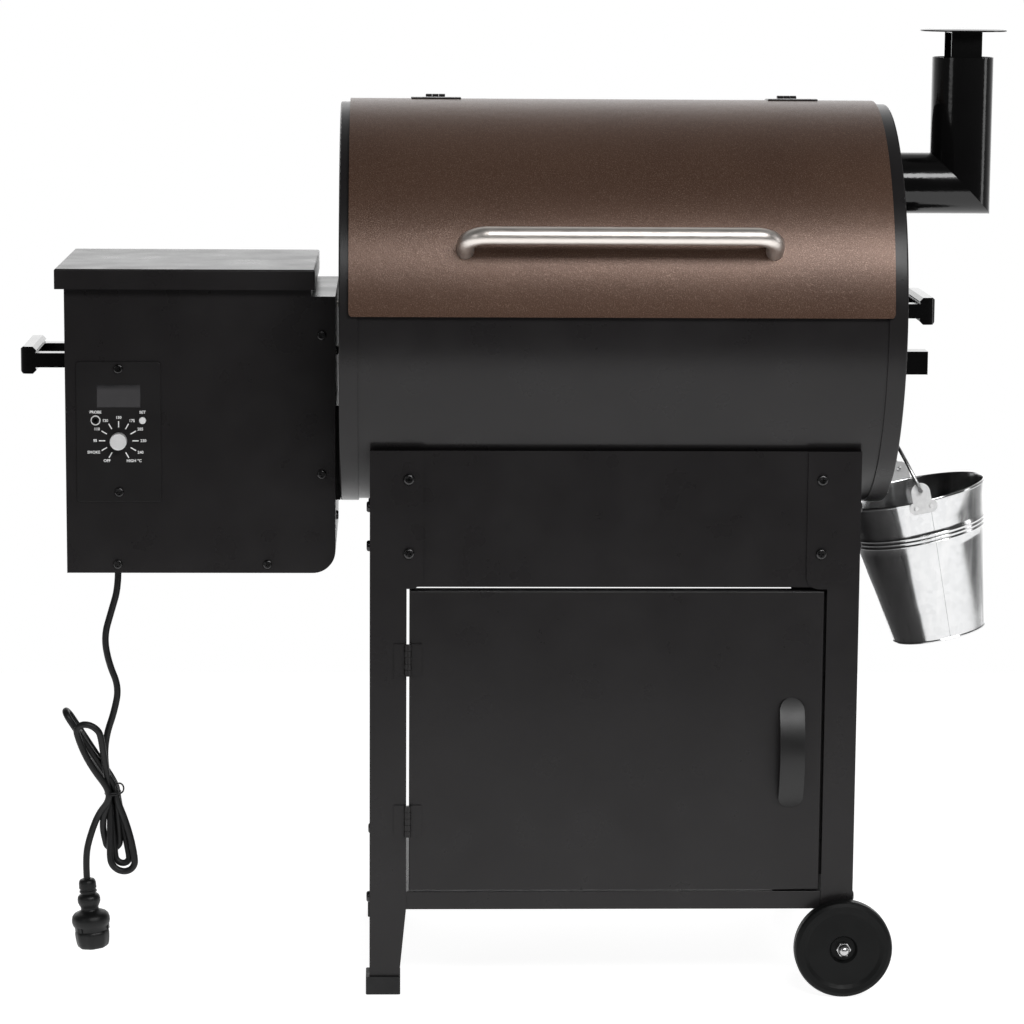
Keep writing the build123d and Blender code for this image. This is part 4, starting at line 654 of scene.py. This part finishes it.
def make_cord():
    """Cord in its hank, with the tie and the plug's two pieces."""
    plug = make_plug()
    cap = make_plug_cap()
    tie = make_tie()
    cord = wire_curve("mains_cord", cord_route(), CORD_D / 2, "cord_rubber", "smoker")
    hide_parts("cord", "cord_hank")
    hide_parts("plug")


make_cord()


# ---- Controller print -------------------------------------------------------------------------
PRINT_HEIGHT = 0.00008
LETTER = 0.0043
LETTER_SWELL = 0.00010
CAPTION_RISE = 0.0088
TICK_ANGLES = range(-150, 151, 30)
TICK_HALF_WIDTH = 0.0006
TICK_NEAR = 0.0148
TICK_FAR = 0.0216
DIAL_LABELS = ["OFF", "SMOKE", "95", "110", "120", "150", "175", "205", "230", "240", "HIGH °C"]
LABEL_REACH = 0.0235
LABEL_RISE = 0.0255
# Labels at the top and foot of the dial are centred: tick angle and offset to the right.
CENTRED_LABELS = {-150: -0.0130, -30: -0.0145, 0: 0.0, 30: 0.0145, 150: 0.0165}
PLATE_FACE_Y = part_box("control_plate")[0].y


def add_text(shape, words, x, z, align):
    """Raised letters on the controller's face, added to a shape."""
    curve = bpy.data.curves.new("letters", "FONT")
    curve.body = words
    curve.size = LETTER
    curve.align_x = align
    curve.align_y = "CENTER"
    curve.extrude = PRINT_HEIGHT / 2
    curve.offset = LETTER_SWELL
    curve.resolution_u = 3
    holder = bpy.data.objects.new("letters", curve)
    bpy.context.collection.objects.link(holder)
    bpy.context.view_layer.update()
    mesh = bpy.data.meshes.new_from_object(holder.evaluated_get(bpy.context.evaluated_depsgraph_get()))
    mesh.transform(Matrix.Translation((x, PLATE_FACE_Y - PRINT_HEIGHT / 2, z)) @ FACING_FRONT)
    shape.from_mesh(mesh)
    bpy.data.objects.remove(holder)
    bpy.data.meshes.remove(mesh)
    bpy.data.curves.remove(curve)


def label_offset(angle):
    """Offset of a dial label from the dial's axis, and the side its letters are aligned to."""
    turn = math.radians(angle)
    rise = LABEL_RISE * math.cos(turn)
    if angle in CENTRED_LABELS:
        return CENTRED_LABELS[angle], rise, "CENTER"
    return LABEL_REACH * math.sin(turn), rise, "LEFT" if angle > 0 else "RIGHT"


def make_dial_print():
    """Tick marks round the dial, its numbers, and words over the socket and button."""
    axis = Vector(JOINTS["dial_turn"]["pos_m"])
    tick = [(-TICK_HALF_WIDTH, TICK_NEAR), (TICK_HALF_WIDTH, TICK_NEAR), (TICK_HALF_WIDTH, TICK_FAR),
            (-TICK_HALF_WIDTH, TICK_FAR)]
    shape = bmesh.new()
    for angle, label in zip(TICK_ANGLES, DIAL_LABELS):
        turn = Matrix.Rotation(math.radians(angle), 4, "Y")
        on_face = Matrix.Translation((axis.x, PLATE_FACE_Y, axis.z))
        add_plate(shape, tick, PRINT_HEIGHT, on_face @ turn @ FACING_FRONT)
        across, rise, align = label_offset(angle)
        add_text(shape, label, axis.x + across, axis.z + rise, align)
    for words, node in (("PROBE", "probe_jack"), ("SET", "set_button")):
        low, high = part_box(node)
        middle = (low + high) / 2
        add_text(shape, words, middle.x, middle.z + CAPTION_RISE, "CENTER")
    add_piece("dial_print", shape, "controller_black", "smoker", "print_white")


make_dial_print()


# ---- Grease bucket ----------------------------------------------------------------------------
BUCKET_TILT = math.radians(12.2)
BUCKET_HEIGHT = 0.167
BUCKET_RIM_R = 0.082
BUCKET_BASE_R = 0.053
BUCKET_WALL = 0.0009
BUCKET_FLOOR = 0.004
RIB_HEIGHTS = (0.1165, 0.1210, 0.1255)
# Section of one rib: offset along the wall and swell outwards.
RIB_SECTION = ((-0.0018, 0.0), (-0.0010, 0.0004), (0.0, 0.0009), (0.0010, 0.0004), (0.0018, 0.0))
RIM_MIDDLE = Vector((BUCKET_RIM_R + 0.0002, 0.1652))
RIM_HALF_WIDTH = 0.0012
RIM_HALF_HEIGHT = 0.0018
RIM_ANGLES = range(-80, 177, 32)
# Lapped seam: its place and its span round the pail, in radians.
SEAM_ANGLE = math.radians(276.0)
SEAM_SPAN = 0.012
SEAM_DEPTH = 0.0007
SEAM_TOP = 0.160

# Ears: the tab stands on a riveted foot; heights are above the bucket's base.
EAR_OUT = 0.0836
EAR_THICKNESS = 0.0017
TAB_R = 0.0105
TAB_FOOT = 0.162
TAB_TOP = 0.177
PIVOT_HEIGHT = BUCKET_HEIGHT + 0.0123
PIVOT_HOLE_R = 0.0024
FOOT_R = 0.0072
FOOT_THICKER = 1.15
FOOT_SHIFT = 0.0002
RIVET_ACROSS = 0.0085
RIVET_HEIGHT = 0.160
RIVET_OUT = 0.0853


def bucket_frame():
    """Frame at the middle of the bucket's base, Z along its leaning axis."""
    pivot = Vector(JOINTS["bucket_tilt"]["pos_m"])
    lean = Matrix.Rotation(-BUCKET_TILT, 4, "Y")
    return Matrix.Translation(pivot) @ lean @ Matrix.Translation((0.0, 0.0, -PIVOT_HEIGHT))


def bucket_radius(height):
    """Outside radius of the straight wall."""
    return BUCKET_BASE_R + (BUCKET_RIM_R - BUCKET_BASE_R) * height / BUCKET_HEIGHT


def wall_points(start, end, count, inwards=0.0):
    """Even points along the straight wall between two heights."""
    shares = [step / (count - 1) for step in range(count)]
    heights = [start * (1 - share) + end * share for share in shares]
    return [(bucket_radius(height) - inwards, height) for height in heights]


def rim_points():
    """Rolled rim, from under its outside to its inside."""
    return [RIM_MIDDLE + oval(RIM_HALF_WIDTH, RIM_HALF_HEIGHT, math.radians(angle)) for angle in RIM_ANGLES]


def bucket_profile():
    """Outside up, over the rolled rim, then the inside down to the floor."""
    base = in_mm([(0.0, 2.5), (50.0, 2.5), (51.2, 0.0), (53.5, 0.0), (54.1, 1.2), (53.5, 2.6)])
    points = base + wall_points(0.006, 0.106, 11)
    for rib in RIB_HEIGHTS:
        points += [(bucket_radius(rib + offset) + swell, rib + offset) for offset, swell in RIB_SECTION]
    points += wall_points(0.131, 0.151, 3)
    points += rim_points()
    points += wall_points(0.162, BUCKET_FLOOR, 11, BUCKET_WALL)
    return points + [(0.0, BUCKET_FLOOR)]


def seam_groove(angle, height, radius):
    """Step of the lapped seam in the pail's wall."""
    near = abs(angle - SEAM_ANGLE) < SEAM_SPAN / 4
    on_wall = BUCKET_FLOOR < height < SEAM_TOP and radius > 0.052
    return -SEAM_DEPTH if near and on_wall else 0.0


def make_pail(place):
    """Ribbed pail with a rolled rim and a lapped seam."""
    angles = [angle for angle in even_turn(180) if abs(angle - SEAM_ANGLE) > SEAM_SPAN]
    angles += [SEAM_ANGLE + SEAM_SPAN * share / 2 for share in (-1.0, -0.6, 0.0, 0.2, 1.0)]
    shape = bmesh.new()
    add_lathe(shape, bucket_profile(), sorted(angles), place, seam_groove)
    pail = add_piece("pail", shape, "galvanised", "bucket", smooth_angle=30)
    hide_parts("bucket")


def make_ears(place):
    """Two pressed ears, front and back, each a holed tab on a foot with two rivets."""
    tab = [(-TAB_R, TAB_FOOT)] + arc_points((0.0, TAB_TOP), TAB_R, 180, 0, 18) + [(TAB_R, TAB_FOOT)]
    hole = arc_points((0.0, PIVOT_HEIGHT), PIVOT_HOLE_R, 90, -260, 35)
    foot = arc_points((RIVET_ACROSS, RIVET_HEIGHT), FOOT_R, 60, -90, 10)
    foot += arc_points((-RIVET_ACROSS, RIVET_HEIGHT), FOOT_R, 270, 120, 10)
    rivet = in_mm([(0.0, 0.0), (2.6, 0.0), (2.5, 0.5), (1.9, 1.1), (1.0, 1.45), (0.0, 1.55)])
    shape = bmesh.new()
    for side in (-1, 1):
        stand = place @ Matrix.Translation((0.0, side * EAR_OUT, 0.0)) @ FACING_FRONT
        thickness = -side * EAR_THICKNESS
        add_holed_plate(shape, tab, hole, thickness, stand)
        lift = Matrix.Translation((0.0, 0.0, side * FOOT_SHIFT))
        add_plate(shape, foot, thickness * FOOT_THICKER, stand @ lift)
        outwards = Matrix.Rotation(-side * math.pi / 2, 4, "X")
        for x in (-RIVET_ACROSS, RIVET_ACROSS):
            seat = place @ Matrix.Translation((x, side * RIVET_OUT, RIVET_HEIGHT)) @ outwards
            add_lathe(shape, rivet, even_turn(16), seat)
    add_piece("bucket_ears", shape, "galvanised", "bucket", "ear_zinc", 35)


make_pail(bucket_frame())
make_ears(bucket_frame())


# ---- Floor and light --------------------------------------------------------------------------
FLOOR_HALF_X = 2.4
FLOOR_HALF_Y = 1.6
FLOOR_DROP = 0.0005
FLOOR_GLOW = 0.90
# Studio brightness by share of the way from in front of the object to behind it.
STUDIO_GREYS = {0.0: 0.03, 0.45: 0.08, 0.65: 0.18, 0.84: 0.50, 0.97: 1.5}


def make_floor():
    """Plain pale floor, just below the feet, with a glow of its own that lifts it to white."""
    mesh = bpy.data.meshes.new("floor")
    signs = ((-1, -1), (1, -1), (1, 1), (-1, 1))
    corners = [(x * FLOOR_HALF_X, y * FLOOR_HALF_Y, 0.0) for x, y in signs]
    mesh.from_pydata(corners, [], [(0, 1, 2, 3)])
    floor = bpy.data.objects.new("floor", mesh)
    floor.location.z = -FLOOR_DROP
    bpy.context.collection.objects.link(floor)
    made = Shader("floor_paint", roughness=0.9, specular=0.1)
    made.colour(made.mix(made.noise(0.6), (0.48, 0.48, 0.48), (0.52, 0.52, 0.52)))
    made.surface.inputs["Emission Color"].default_value = (1.0, 1.0, 1.0, 1.0)
    made.surface.inputs["Emission Strength"].default_value = FLOOR_GLOW
    mesh.materials.append(made.material)


def make_light(name, place, aim, size, power):
    """Soft box of a width and height in metres, turned to a point, its power in watts."""
    data = bpy.data.lights.new(name, "AREA")
    data.shape = "RECTANGLE"
    data.size, data.size_y = size
    data.energy = power
    light = bpy.data.objects.new(name, data)
    light.location = place
    light.rotation_euler = (Vector(aim) - Vector(place)).to_track_quat("-Z", "Y").to_euler()
    bpy.context.collection.objects.link(light)


def make_world():
    """Studio, dark before the object and bright behind it in reflections; plain white where seen."""
    world = bpy.data.worlds.new("studio")
    bpy.context.scene.world = world
    world.use_nodes = True
    tree = world.node_tree
    where = tree.nodes.new("ShaderNodeTexCoord")
    split = tree.nodes.new("ShaderNodeSeparateXYZ")
    share = tree.nodes.new("ShaderNodeMapRange")
    share.inputs["From Min"].default_value = -1.0
    ramp = tree.nodes.new("ShaderNodeValToRGB")
    seen = tree.nodes.new("ShaderNodeLightPath")
    choose = tree.nodes.new("ShaderNodeMix")
    choose.data_type = "RGBA"
    stops = ramp.color_ramp.elements
    stops.remove(stops[1])
    for position, grey in STUDIO_GREYS.items():
        stop = stops.new(position) if position > 0.0 else stops[0]
        stop.color = (grey, grey, grey, 1.0)
    reflected, plain = colour_sockets(choose.inputs)
    plain.default_value = (1.0, 1.0, 1.0, 1.0)
    tree.links.new(where.outputs["Generated"], split.inputs["Vector"])
    tree.links.new(split.outputs["Y"], share.inputs["Value"])
    tree.links.new(share.outputs["Result"], ramp.inputs["Fac"])
    tree.links.new(ramp.outputs["Color"], reflected)
    tree.links.new(seen.outputs["Is Camera Ray"], choose.inputs["Factor"])
    tree.links.new(colour_sockets(choose.outputs)[0], tree.nodes["Background"].inputs["Color"])


make_floor()
make_world()
make_light("key", place=(1.0, -2.6, 2.45), aim=(0.1, 0.0, 0.9), size=(2.4, 0.8), power=66.0)
make_light("fill", place=(-2.6, -2.4, 1.5), aim=(0.0, 0.0, 0.5), size=(0.9, 1.6), power=6.0)
make_light("side", place=(3.0, -0.1, 0.9), aim=(0.4, 0.0, 0.5), size=(0.5, 1.6), power=5.0)
bpy.context.scene.view_settings.view_transform = "Standard"
